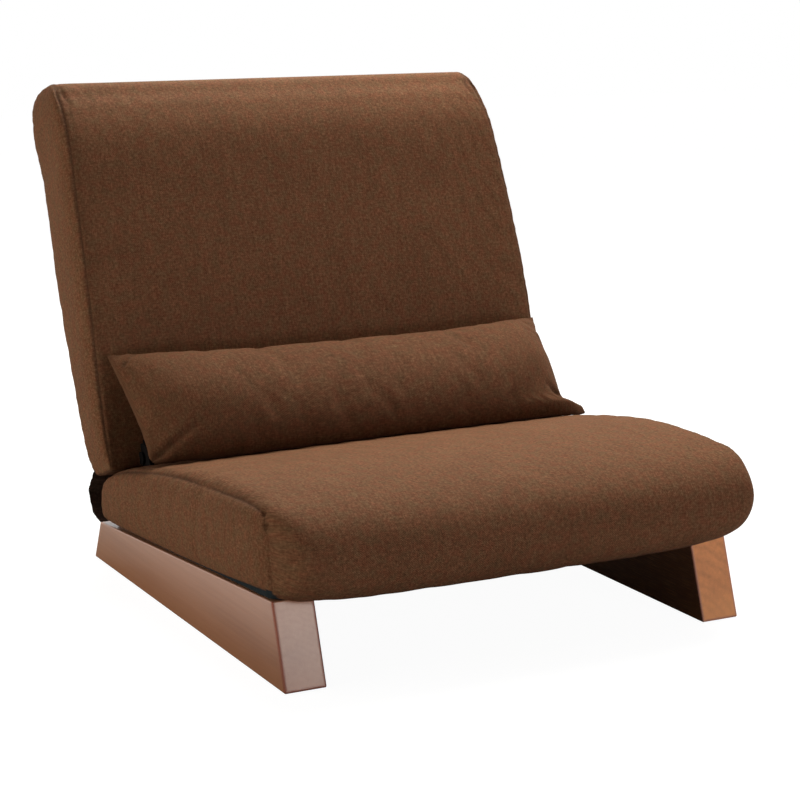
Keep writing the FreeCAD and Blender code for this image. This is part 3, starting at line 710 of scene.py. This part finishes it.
press_clear(lumbar_pillow, seat_pad)
press_clear(lumbar_pillow, back_pad)
pillow_corners = [(-1, -1), (1, -1), (1, 1), (-1, 1), (-1, -1)]
side_steps = 40
pillow_line = []
for (u0, v0), (u1, v1) in zip(pillow_corners, pillow_corners[1:]):
    pillow_line += [(u0 + (u1 - u0) * i / side_steps, v0 + (v1 - v0) * i / side_steps) for i in range(side_steps)]
pillow_line.append(pillow_corners[0])
pillow_seams = [[(pillow_point(u, v, True) + pillow_point(u, v, False)) / 2 for u, v in pillow_line]]
press_seams(lumbar_pillow, pillow_seams, depth=0.0, gather=0.0007, reach=0.014, pitch=0.026)
pillow_tucks = [((-0.970, 0.68), (-0.895, 0.92), 0.0045), ((-0.975, -0.93), (-0.820, -0.66), 0.0042),
                ((0.965, -0.80), (0.880, -0.62), 0.0050), ((0.955, 0.30), (0.870, 0.45), 0.0025)]
# Each tuck's groove is also darkened in the finish, as painted shade.
for start, end, depth in pillow_tucks:
    press_pleat(lumbar_pillow, pillow_point(*start, True), pillow_point(*end, True), depth, 0.0045)

# %% [markdown]
# Behind the hinge hangs a strip of thin dark cloth. It is sewn to the lower rear edge of the back and to the
# underside of the seat, so that nothing falls into the hinge, and it is slack and crumpled when the chair stands
# upright. A grid is laid along the line of its middle, and creases that run across it are pressed in.

# %% Hinge cloth
def along_line(corners, share):
    lengths = [math.dist(p, q) for p, q in zip(corners, corners[1:])]
    aim = share * sum(lengths)
    for (p, q), length in zip(zip(corners, corners[1:]), lengths):
        if aim <= length:
            return tuple(a + (b - a) * aim / length for a, b in zip(p, q))
        aim -= length
    return corners[-1]


def soft_line(corners, fineness=10):
    """A smooth open line through corners."""
    padded_corners = corners[:1] + corners + corners[-1:]
    line = []
    for four in zip(padded_corners, padded_corners[1:], padded_corners[2:], padded_corners[3:]):
        line += [smooth_between(*four, step / fineness) for step in range(fineness)]
    return line + [corners[-1]]


def cloth_grid(name, columns, rows, place, width, length):
    """A sheet from place(across share, along share), both from -1 to 1, with its pattern map in metres."""
    sheet = new_grid(name, columns, rows)
    lay_pattern(sheet, width / 2, length / 2)
    for vertex in sheet.data.vertices:
        vertex.co = place(vertex.co.x, vertex.co.y)
    bpy.ops.object.shade_smooth()
    print(name, "has an area of", round(sum(face.area for face in sheet.data.polygons), 4), "square metres")
    return sheet


hinge_line = soft_line([(0.199, 0.138), (0.213, 0.127), (0.223, 0.113), (0.228, 0.097), (0.221, 0.081),
                        (0.205, 0.071), (0.186, 0.067)])
hinge_cloth_half = 0.331
hinge_heart = Vector((0, 0.165, 0.100))
long_crease, cross_crease = 0.0018, 0.0030


def hinge_cloth_place(u, v):
    y, z = along_line(hinge_line, (1 - v) / 2)
    hold = 1 - abs(v) ** 3
    crease = wobble(u * 11 + 2.0 * v, 0.4) * long_crease + wobble(v * 9 + 3 * math.sin(u * 7), 1.9) * cross_crease
    out = (Vector((0, y, z)) - hinge_heart).normalized()
    return Vector((u * hinge_cloth_half, y, z)) + out * (crease * hold + 0.001)


hinge_cloth = cloth_grid("hinge_cloth", 150, 34, hinge_cloth_place, 0.662, 0.110)

# %% [markdown]
# Under the seat a thin black cloth is stapled from tube to tube, so that dust stays out of the springs. It is
# stretched flat, sags a few millimetres between the tubes and shows small tension waves along its edges.

# %% Under cloth
under_half = 0.264
under_front, under_rear = 0.032, 0.554
under_sag, under_wave = 0.005, 0.0008


def under_place(u, v):
    sag = (1 - u * u) * (1 - v * v)
    wave = under_wave * math.sin(u * 42) * abs(v) ** 6 + under_wave * math.sin(v * 38) * abs(u) ** 6
    along = (under_front + under_rear) / 2 + (under_rear - under_front) / 2 * v
    return on_deck(under_half * u, along, -tube_clear - under_sag * sag - abs(wave))


under_cloth = cloth_grid("under_cloth", 90, 90, under_place, 0.528, 0.522)

# %% [markdown]
# Finishes come next. Small helpers keep the node trees readable: one adds a node with its settings, one makes a group
# with named inputs and outputs, and a set of short words does sums, mixes, noises and shares in one tree. Groups put
# out colours, heights and masks only, and each material keeps its own shader.

# %% Helpers for node trees
def add(tree, kind, inputs=None, **settings):
    made = tree.nodes.new(kind)
    for key, value in settings.items():
        setattr(made, key, value)
    for key, value in (inputs or {}).items():
        if isinstance(value, bpy.types.NodeSocket):
            tree.links.new(value, made.inputs[key])
        else:
            made.inputs[key].default_value = value
    return made


def new_group(name, inputs, outputs):
    group = bpy.data.node_groups.new(name, "ShaderNodeTree")
    for way, sockets in (("INPUT", inputs), ("OUTPUT", outputs)):
        for label, kind, *value in sockets:
            socket = group.interface.new_socket(label, in_out=way, socket_type="NodeSocket" + kind)
            if value:
                socket.default_value = value[0]
    return group, add(group, "NodeGroupInput").outputs, add(group, "NodeGroupOutput").inputs


def into(tree, sockets, outputs):
    for label, value in outputs.items():
        tree.links.new(value, sockets[label])


def words_of(tree):
    def calc(operation, a, b=0.0, c=0.0):
        return add(tree, "ShaderNodeMath", {0: a, 1: b, 2: c}, operation=operation).outputs[0]

    def mix(part, a, b, kind="MIX"):
        return add(tree, "ShaderNodeMix", {0: part, 6: a, 7: b}, data_type="RGBA", blend_type=kind).outputs[2]

    def noise(place, stretch, detail=2.0, roughness=0.5):
        scaled = add(tree, "ShaderNodeMapping", {"Vector": place, "Scale": stretch}).outputs[0]
        return add(tree, "ShaderNodeTexNoise", {"Vector": scaled, "Scale": 1.0, "Detail": detail,
                                                "Roughness": roughness}).outputs["Fac"]

    def share(value, low, high, to_low=0.0, to_high=1.0, **settings):
        """The share of the way from low to high, held at both ends."""
        return add(tree, "ShaderNodeMapRange", {0: value, 1: low, 2: high, 3: to_low, 4: to_high}, clamp=True,
                   **settings).outputs[0]

    def lean(tone, part, weight):
        """Shifts a tone by a part that is 0.5 on average."""
        return calc("MULTIPLY_ADD", calc("SUBTRACT", part, 0.5), weight, tone)

    return calc, mix, noise, share, lean


def finish_from(name, group, values, bump, bump_height, constants):
    """One Principled shader fed by a group. Constants are set on the shader's own sockets."""
    finish = bpy.data.materials.new(name)
    finish.use_nodes = True
    tree = finish.node_tree
    shader = tree.nodes["Principled BSDF"]
    look = add(tree, "ShaderNodeGroup", values, node_tree=group).outputs
    relief = add(tree, "ShaderNodeBump", {"Strength": bump, "Distance": bump_height, "Height": look["Height"]})
    into(tree, shader.inputs, {"Base Color": look["Color"], "Roughness": look["Roughness"],
                               "Normal": relief.outputs[0]})
    if "Lacquer" in look:
        into(tree, shader.inputs, {"Coat Weight": look["Lacquer"]})
    for label, value in constants.items():
        shader.inputs[label].default_value = value
    print("finish", name)
    return finish


# %% [markdown]
# The brown cloth is a plain weave of heathered yarn. Each yarn changes colour every few millimetres, so the cloth
# shows short streaks both ways, and from a step back a soft mottle. The group reads the pattern map in metres. The
# attributes darken the seam lines, partly as a dark joint and partly as painted shade in the groove, and darken the
# tucks and a band on the face beside each seam as painted shade. The lining attribute changes to the dark cloth
# underneath.

# %% Heathered weave
weave, weave_in, weave_out = new_group(
    "heathered weave",
    [("Dark", "Color"), ("Middle", "Color"), ("Light", "Color"), ("Yarn Pitch", "Float", 0.0014),
     ("Contrast", "Float", 1.0)],
    [("Color", "Color"), ("Height", "Float"), ("Roughness", "Float")])
calc, mix, noise, share, lean = words_of(weave)
# The first colour darkens the seam lines, which are partly a dark joint, and is painted shade in tucks and in the
# bands beside seams. The second is the lining's own dark cloth.
seam_and_tuck_shade_colour, lining_colour = (0.012, 0.006, 0.004, 1), (0.007, 0.011, 0.013, 1)
cloth_map = add(weave, "ShaderNodeUVMap", uv_map="pattern").outputs[0]
flat = add(weave, "ShaderNodeSeparateXYZ", {0: cloth_map}).outputs
warp, weft = (calc("SINE", calc("MULTIPLY", calc("DIVIDE", flat[axis], weave_in["Yarn Pitch"]), math.pi))
              for axis in (0, 1))
over_under = calc("MULTIPLY", warp, weft)
is_warp = calc("MULTIPLY_ADD", over_under, 0.5, 0.5)
streak_up = noise(cloth_map, (640, 150, 1))
streak_across = noise(cloth_map, (150, 640, 1))
yarn = calc("ADD", calc("MULTIPLY", streak_up, is_warp),
            calc("MULTIPLY", streak_across, calc("SUBTRACT", 1.0, is_warp)))
mottle = noise(cloth_map, (270, 270, 1), 4.0, 0.65)
cloud = noise(cloth_map, (14, 14, 1), 3.0, 0.55)
slub = noise(cloth_map, (210, 22, 1))
tone = 0.5
for part, weight in ((yarn, 1.5), (mottle, 1.3), (cloud, 0.25), (slub, 0.35)):
    tone = lean(tone, part, weight)
tone = lean(0.5, tone, weave_in["Contrast"])
low_yarn = mix(share(tone, 0.0, 0.5), weave_in["Dark"], weave_in["Middle"])
yarn_colour = mix(share(tone, 0.5, 1.0), low_yarn, weave_in["Light"])
patch = share(noise(cloth_map, (75, 75, 1), 3.0, 0.6), 0.36, 0.64)
yarn_colour = mix(1.0, yarn_colour, mix(patch, (1.08, 0.955, 0.96, 1), (0.92, 1.045, 1.04, 1)), "MULTIPLY")
seam, seam_side_shade, lining = (add(weave, "ShaderNodeAttribute", attribute_name=name).outputs["Fac"]
                         for name in ("seam", "seam_side_shade", "lining"))
# Painted shade: tucks and the bands beside the seams are mixed towards the near-black brown, and so are the seam
# lines, which are partly a dark joint.
seam_and_shade_share = calc("MULTIPLY_ADD", seam, 0.25, calc("MULTIPLY", seam_side_shade, 0.30))
into(weave, weave_out, {
    "Color": mix(lining, mix(seam_and_shade_share, yarn_colour, seam_and_tuck_shade_colour), lining_colour),
    "Height": calc("MULTIPLY_ADD", yarn, 0.7, calc("MULTIPLY", over_under, 0.35)),
    "Roughness": calc("MULTIPLY_ADD", yarn, -0.16, 0.98),
})
print("weave of", len(weave.nodes), "nodes")

# %% [markdown]
# One weave serves four cloths. The pillow has the same cloth as the pads in a darker copy, as it looks in the
# photograph: painted shade, for the light that reaches the pillow less. The hinge cloth is finer and nearly black
# brown, and the cloth under the seat is black.

# %% Cloths
def cloth_finish(name, dark, middle, light, pitch=0.0014, contrast=1.0, sheen=0.12):
    return finish_from(name, weave, {"Dark": dark, "Middle": middle, "Light": light, "Yarn Pitch": pitch,
                                     "Contrast": contrast}, 0.5, 0.0006,
                       {"Sheen Weight": sheen, "Sheen Roughness": 0.5, "Sheen Tint": light,
                        "Specular IOR Level": 0.10})


heathered_cloth = cloth_finish("heathered_cloth", (0.061, 0.0236, 0.0102, 1), (0.117, 0.0492, 0.0228, 1),
                               (0.198, 0.0930, 0.0465, 1), sheen=0.01)
# Painted shade: a darker copy of the pads' cloth for the pillow.
pillow_cloth_painted_shade = cloth_finish("pillow_cloth_painted_shade", (0.050, 0.0190, 0.0080, 1), (0.096, 0.0392, 0.0178, 1),
                            (0.163, 0.0745, 0.0365, 1), sheen=0.01)
hinge_cloth_finish = cloth_finish("hinge_cloth_finish", (0.022, 0.011, 0.008, 1), (0.045, 0.024, 0.017, 1),
                                  (0.090, 0.052, 0.038, 1), 0.0008, 0.8)
under_cloth_finish = cloth_finish("under_cloth_finish", (0.008, 0.008, 0.009, 1), (0.014, 0.014, 0.015, 1),
                                  (0.028, 0.028, 0.030, 1), 0.0005, 0.7)

# %% [markdown]
# The legs are solid wood with an even satin lacquer. The log's growth rings run along the leg, so the sides show long
# lines that wander slightly and the front shows the arcs of the rings. Fine dark pores follow the same way. The
# lowest few centimetres of each leg are painted lighter, as painted light below the shade of the seat. Along the
# edges of the front face the lacquer is rubbed off and the stain shows as a dark reddish line, and the inner faces
# are darkened as painted shade, where the seat shades them. The group reads Object coordinates.

# %% Ring wood
wood, wood_in, wood_out = new_group(
    "ring wood",
    [("Early", "Color"), ("Late", "Color"), ("Foot", "Color"), ("Arris", "Color"),
     ("Ring Pitch", "Float", 0.006), ("Heart", "Vector", (0.0, 0.0, 0.0)), ("Figure", "Float", 1.0),
     ("Coat", "Float", 0.7)],
    [("Color", "Color"), ("Height", "Float"), ("Roughness", "Float"), ("Lacquer", "Float")])
calc, mix, noise, share, lean = words_of(wood)
wood_place = add(wood, "ShaderNodeTexCoord").outputs["Object"]
from_heart = add(wood, "ShaderNodeVectorMath", {0: wood_place, 1: wood_in["Heart"]}, operation="SUBTRACT").outputs[0]
heart_x, _, heart_z = add(wood, "ShaderNodeSeparateXYZ", {0: from_heart}).outputs
radius = calc("SQRT", calc("MULTIPLY_ADD", heart_x, heart_x, calc("MULTIPLY", heart_z, heart_z)))
radius = calc("MULTIPLY_ADD", noise(wood_place, (9, 2.2, 9), 3.0), 0.030, radius)
radius = calc("MULTIPLY_ADD", noise(wood_place, (60, 5, 60)), 0.003, radius)
ring_turn = calc("MULTIPLY", calc("DIVIDE", radius, wood_in["Ring Pitch"]), 2 * math.pi)
late = calc("POWER", calc("MULTIPLY_ADD", calc("SINE", ring_turn), 0.5, 0.5), 2.2)
pore = share(noise(wood_place, (1500, 26, 1500), 2.0, 0.6), 0.50, 0.72)
stripes = noise(wood_place, (170, 3, 170), 3.0, 0.55)
tint = noise(wood_place, (14, 2.5, 14))
tone = calc("MULTIPLY_ADD", calc("MULTIPLY", late, wood_in["Figure"]), 0.34,
            calc("MULTIPLY_ADD", stripes, 0.7, -0.12))
board = mix(share(lean(tone, tint, 1.2), 0.0, 1.0), wood_in["Early"], wood_in["Late"])
print("wood of", len(wood.nodes), "nodes so far")

# %% Lighter foot (painted light), worn edges and darkened inner faces (painted shade) of the legs
leg_outer, leg_inner = 0.320, 0.266
front_slope_y, front_slope_z, front_offset = 0.947, 0.322, 0.3835
# The colour of the painted shade on the legs' inner faces.
inner_painted_shade = (0.050, 0.012, 0.008, 1)
place_x, place_y, height = add(wood, "ShaderNodeSeparateXYZ", {0: wood_place}).outputs
# Painted light: the lowest 5 cm of each leg is mixed towards the lighter foot colour, below the seat's shade.
lit_foot = share(calc("MULTIPLY_ADD", tint, 0.012, height), 0.050, 0.004)
board = mix(calc("MULTIPLY", lit_foot, 0.6), board, wood_in["Foot"])
across = calc("ABSOLUTE", place_x)
to_side = calc("MINIMUM", calc("SUBTRACT", leg_outer, across), calc("SUBTRACT", across, leg_inner))
to_front = calc("SUBTRACT", calc("MULTIPLY_ADD", place_y, front_slope_y, front_offset),
                calc("MULTIPLY", height, front_slope_z))
at_side, at_front = (share(distance, 0.0044, 0.0020) for distance in (to_side, to_front))
at_floor = share(height, 0.0054, 0.0026)
arris = calc("MULTIPLY", at_front, calc("MAXIMUM", at_side, at_floor))
board = mix(calc("MULTIPLY", arris, 0.8), board, wood_in["Arris"])
# Painted shade: the inner faces of the legs, which lie under the seat, are darkened.
board = mix(calc("MULTIPLY", share(across, leg_inner + 0.0022, leg_inner + 0.0008), 0.75), board, inner_painted_shade)
into(wood, wood_out, {
    # The pores take the same colour as the lighter foot.
    "Color": mix(calc("MULTIPLY", pore, 0.35), board, wood_in["Foot"]),
    "Height": calc("MULTIPLY_ADD", pore, -1.0, calc("MULTIPLY", late, -0.25)),
    "Roughness": calc("MULTIPLY_ADD", pore, 0.14, calc("MULTIPLY_ADD", stripes, 0.10, 0.33)),
    "Lacquer": calc("MULTIPLY", wood_in["Coat"], calc("MULTIPLY_ADD", arris, -0.9, 1.0)),
})

# %% [markdown]
# Each leg has its own rings: the left one narrow rings under a glossier coat, the right one wider rings. Their
# colours are lit and shaded copies of one wood, painted light and shade: the right one is much lighter and redder,
# standing in for the light on its front, and the left one is darker and greyer.

# %% Wood of each leg
def wood_finish(name, early, late_colour, pores_and_lit_foot_colour, arris_colour, heart, pitch, coat, figure):
    return finish_from(name, wood, {"Early": early, "Late": late_colour, "Foot": pores_and_lit_foot_colour, "Arris": arris_colour,
                                    "Ring Pitch": pitch, "Heart": heart, "Figure": figure, "Coat": coat},
                       0.25, 0.0004, {"Specular IOR Level": 0.3, "Coat Roughness": 0.16})


# Painted light and shade: the two legs' colours differ to stand in for the light that falls on each.
left_leg_wood_painted_shade = wood_finish("left_leg_wood_painted_shade", (0.36, 0.160, 0.086, 1), (0.22, 0.086, 0.044, 1),
                            (0.44, 0.184, 0.092, 1), (0.20, 0.036, 0.014, 1), heart=(-0.345, 0.0, -0.09),
                            pitch=0.0065, coat=0.62, figure=0.22)
right_leg_wood_painted_light = wood_finish("right_leg_wood_painted_light", (0.76, 0.29, 0.095, 1), (0.32, 0.108, 0.036, 1),
                             (0.95, 0.40, 0.135, 1), (0.50, 0.20, 0.13, 1), heart=(0.235, 0.0, -0.03),
                             pitch=0.0130, coat=0.25, figure=0.5)

# %% [markdown]
# The hard parts are plain workshop finishes: black powder coat on the tubes, flat black paint on the hinges, bright
# zinc on the bolts, brass inserts, spring wire, black plastic caps and glides. The hinges and their pins are set
# darker than black paint and nearly without gloss, so that they sink into the shade of their nook: partly their own
# black paint and partly painted shade. One group gives them what a flat colour lacks: an orange-peel or brushed
# relief, blotches and a spread of roughness.

# %% Hard finishes
dust, dust_in, dust_out = new_group(
    "workshop finish",
    [("Color", "Color"), ("Worn Color", "Color"), ("Grain", "Vector", (400.0, 400.0, 400.0)),
     ("Roughness", "Float", 0.4)],
    [("Color", "Color"), ("Height", "Float"), ("Roughness", "Float")])
calc, mix, noise, share, lean = words_of(dust)
hard_place = add(dust, "ShaderNodeTexCoord").outputs["Object"]
grain_place = add(dust, "ShaderNodeVectorMath", {0: hard_place, 1: dust_in["Grain"]}, operation="MULTIPLY").outputs[0]
hard_grain = add(dust, "ShaderNodeTexNoise", {"Vector": grain_place, "Scale": 1.0, "Detail": 3.0}).outputs["Fac"]
blotch = noise(hard_place, (28, 28, 28), 4.0, 0.6)
into(dust, dust_out, {
    "Color": mix(calc("MULTIPLY", share(blotch, 0.46, 0.75), 0.7), dust_in["Color"], dust_in["Worn Color"]),
    "Height": hard_grain,
    "Roughness": calc("ADD", dust_in["Roughness"],
                      calc("MULTIPLY_ADD", blotch, 0.22, calc("MULTIPLY_ADD", hard_grain, 0.10, -0.16))),
})


def hard_finish(name, base, worn_colour, roughness, metal, grain, specular=0.5):
    return finish_from(name, dust, {"Color": (*base, 1), "Worn Color": (*worn_colour, 1), "Grain": (grain,) * 3,
                                    "Roughness": roughness},
                       0.15, 0.0003, {"Metallic": metal, "Specular IOR Level": specular})


tube_paint = hard_finish("tube_paint", (0.012, 0.012, 0.013), (0.022, 0.022, 0.024), 0.42, 0.0, 600)
zinc = hard_finish("zinc", (0.56, 0.57, 0.58), (0.42, 0.43, 0.45), 0.34, 1.0, 900)
# Partly painted shade: darker than plain black paint and almost without gloss, so the hinge sinks into the shade of
# its nook.
hinge_paint_nook_shade = hard_finish("hinge_paint_nook_shade", (0.005, 0.004, 0.004), (0.008, 0.007, 0.006), 0.8, 0.0, 700, 0.03)
spring_wire = hard_finish("spring_wire", (0.30, 0.30, 0.31), (0.19, 0.18, 0.18), 0.36, 1.0, 1200)
brass = hard_finish("brass", (0.74, 0.53, 0.24), (0.52, 0.36, 0.16), 0.30, 1.0, 900)
black_plastic = hard_finish("black_plastic", (0.016, 0.016, 0.017), (0.026, 0.026, 0.027), 0.48, 0.0, 1500)

# %% [markdown]
# Every CAD node keeps its mesh and gets the finish of what it is made of. The soft solids are hidden: the sewn pads,
# the pillow and the two thin cloths stand for them.

# %% Finishes on the frame
finish_of_slot = {
    "glide_plastic": black_plastic, "zinc_steel": zinc, "insert_brass": brass, "frame_steel": tube_paint,
    "hinge_steel": hinge_paint_nook_shade, "spring_steel": spring_wire, "cap_plastic": black_plastic,
    "black_cloth": under_cloth_finish, "gusset_cloth": hinge_cloth_finish, "brown_cloth": heathered_cloth,
    "foam": heathered_cloth, "filling": heathered_cloth,
}
# The hinge and pawl pins get the same near-black finish, as painted shade in the nook.
finish_of_node = {"left_leg": left_leg_wood_painted_shade, "right_leg": right_leg_wood_painted_light, "hinge_pins": hinge_paint_nook_shade,
                  "pawl_pins": hinge_paint_nook_shade}
slot_of_node = {part["node"]: part["material_slot"] for part in frame["record"]["subparts"]}
for name, node in frame["nodes"].items():
    node.data.materials.clear()
    node.data.materials.append(finish_of_node.get(name) or finish_of_slot[slot_of_node[name]])
for piece, finish in ((seat_pad, heathered_cloth), (back_pad, heathered_cloth), (lumbar_pillow, pillow_cloth_painted_shade),
                      (hinge_cloth, hinge_cloth_finish), (under_cloth, under_cloth_finish)):
    piece.data.materials.append(finish)
print("finishes", sorted({material.name for node in frame["nodes"].values() for material in node.data.materials}))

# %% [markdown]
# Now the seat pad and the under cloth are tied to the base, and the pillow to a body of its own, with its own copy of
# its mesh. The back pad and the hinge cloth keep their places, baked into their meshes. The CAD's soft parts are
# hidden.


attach(seat_pad, "base")
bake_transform(back_pad)
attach(lumbar_pillow, "pillow")
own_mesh(lumbar_pillow)
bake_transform(hinge_cloth)
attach(under_cloth, "base")
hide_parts("seat_cover", "seat_foam")
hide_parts("back_cover", "back_foam_front", "back_foam_rear")
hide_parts("pillow_cover", "pillow_filling")
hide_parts("hinge_gusset")
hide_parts("dust_cover")
print("tied to their bodies:", [piece.name for piece in (seat_pad, back_pad, lumbar_pillow, hinge_cloth,
                                                         under_cloth)])

# %% [markdown]
# The photograph has a white sweep. To the camera the floor is white, with a faint shadow near the chair. To gloss and
# to light that bounces from it, it is bright in the open and dark under the chair, which is a painted shadow, so that
# the underside stays as dark as it is in the photograph.

# %% Floor
deselect_all()
bpy.ops.mesh.primitive_plane_add(size=16, location=(0, 0, 0))
floor = bpy.context.object
floor.name = "floor"
floor_paint = bpy.data.materials.new("floor_paint")
floor_paint.use_nodes = True
tree = floor_paint.node_tree
tree.nodes.remove(tree.nodes["Principled BSDF"])
calc, mix, noise, share, lean = words_of(tree)
# Painted shadow: the first colour is the floor under the chair, for bounced light.
painted_shadow_under_chair, in_daylight, shadow_catcher = (0.03, 0.03, 0.03, 1), (0.70, 0.69, 0.68, 1), (0.15, 0.15, 0.15, 1)
rays = add(tree, "ShaderNodeLightPath").outputs
seen = calc("MAXIMUM", rays["Is Camera Ray"], calc("MAXIMUM", rays["Is Glossy Ray"], rays["Is Transmission Ray"]))
floor_place = add(tree, "ShaderNodeTexCoord").outputs["Object"]
floor_x, floor_y, _ = add(tree, "ShaderNodeSeparateXYZ", {0: floor_place}).outputs
beside = share(calc("ABSOLUTE", floor_x), 0.33, 0.52, interpolation_type="SMOOTHSTEP")
ahead = share(calc("ABSOLUTE", floor_y), 0.42, 0.95, interpolation_type="SMOOTHSTEP")
in_the_open = calc("MAXIMUM", beside, ahead)
bounce = add(tree, "ShaderNodeBsdfDiffuse", {"Color": mix(in_the_open, painted_shadow_under_chair, in_daylight)}).outputs[0]
far = calc("SQRT", calc("MULTIPLY_ADD", floor_x, floor_x, calc("MULTIPLY", floor_y, floor_y)))
# Painted shadow in reflections: to gloss, the floor under the chair does not glow.
whiteness = calc("MULTIPLY", calc("MAXIMUM", rays["Is Camera Ray"], in_the_open), share(far, 0.5, 1.6, 0.955, 1.0))
white = add(tree, "ShaderNodeEmission", {"Strength": whiteness}).outputs[0]
shadowed = add(tree, "ShaderNodeBsdfDiffuse", {"Color": shadow_catcher}).outputs[0]
shown = add(tree, "ShaderNodeAddShader", {0: shadowed, 1: white}).outputs[0]
either = add(tree, "ShaderNodeMixShader", {0: seen, 1: bounce, 2: shown})
tree.links.new(either.outputs[0], tree.nodes["Material Output"].inputs["Surface"])
floor.data.materials.append(floor_paint)
print("floor", tuple(round(side, 1) for side in floor.dimensions))

# %% [markdown]
# The light is very soft and comes from above and behind. Two lamps at the left light the side panels, a low one in
# front lights the roll and the undersides, and a small warm softbox puts a sheen on the left leg. The world is white
# to the camera and to gloss, and lights the rest only dimly.

# %% Lamps and world
def soft_lamp(name, place, aim, size, watts, tint=(1, 1, 1)):
    bpy.ops.object.light_add(type="AREA", location=place)
    lamp = bpy.context.object
    lamp.name = name
    lamp.data.shape = "DISK"
    lamp.data.size = size
    lamp.data.energy = watts
    lamp.data.color = tint
    lamp.rotation_euler = (Vector(aim) - Vector(place)).to_track_quat("-Z", "Y").to_euler()
    print(name, watts, "W")


seat_height, chair_middle = (0, 0, 0.2), (0, 0, 0.3)
warm = (1.0, 0.97, 0.86)
soft_lamp("lamp_above_rear", (0.4, 1.3, 2.1), seat_height, 1.5, 66, (1.0, 1.0, 0.88))
soft_lamp("lamp_above_right", (1.0, 0.5, 2.2), seat_height, 1.5, 52, (1.0, 0.98, 0.88))
soft_lamp("lamp_above_front", (1.3, -0.4, 2.1), seat_height, 1.5, 5)
soft_lamp("lamp_left", (-2.6, -0.3, 1.0), chair_middle, 1.4, 11, warm)
soft_lamp("lamp_low_left", (-2.4, 0.6, 0.5), chair_middle, 1.2, 21, warm)
soft_lamp("lamp_low_front", (0.2, -3.2, 0.24), (0, -0.3, 0.2), 0.8, 25, (0.97, 0.97, 1.10))
soft_lamp("softbox", (1.05, -2.95, 1.05), (-0.3, -0.39, 0.05), 0.7, 8.5, (1.0, 0.95, 0.88))
dim, full = 0.015, 1.0
world = bpy.data.worlds.new("studio")
bpy.context.scene.world = world
world.use_nodes = True
tree = world.node_tree
calc, mix, noise, share, lean = words_of(tree)
rays = add(tree, "ShaderNodeLightPath").outputs
seen = calc("MAXIMUM", rays["Is Camera Ray"], rays["Is Glossy Ray"])
background = tree.nodes["Background"].inputs
background["Color"].default_value = (1, 1, 1, 1)
tree.links.new(calc("MULTIPLY_ADD", seen, full - dim, dim), background["Strength"])
bpy.context.scene.view_settings.view_transform = "Standard"

# %% [markdown]
# Last, the time that the cloth simulations took is printed.

# %% Simulation time and the end
print("simulation took", round(simulation_seconds), "s")
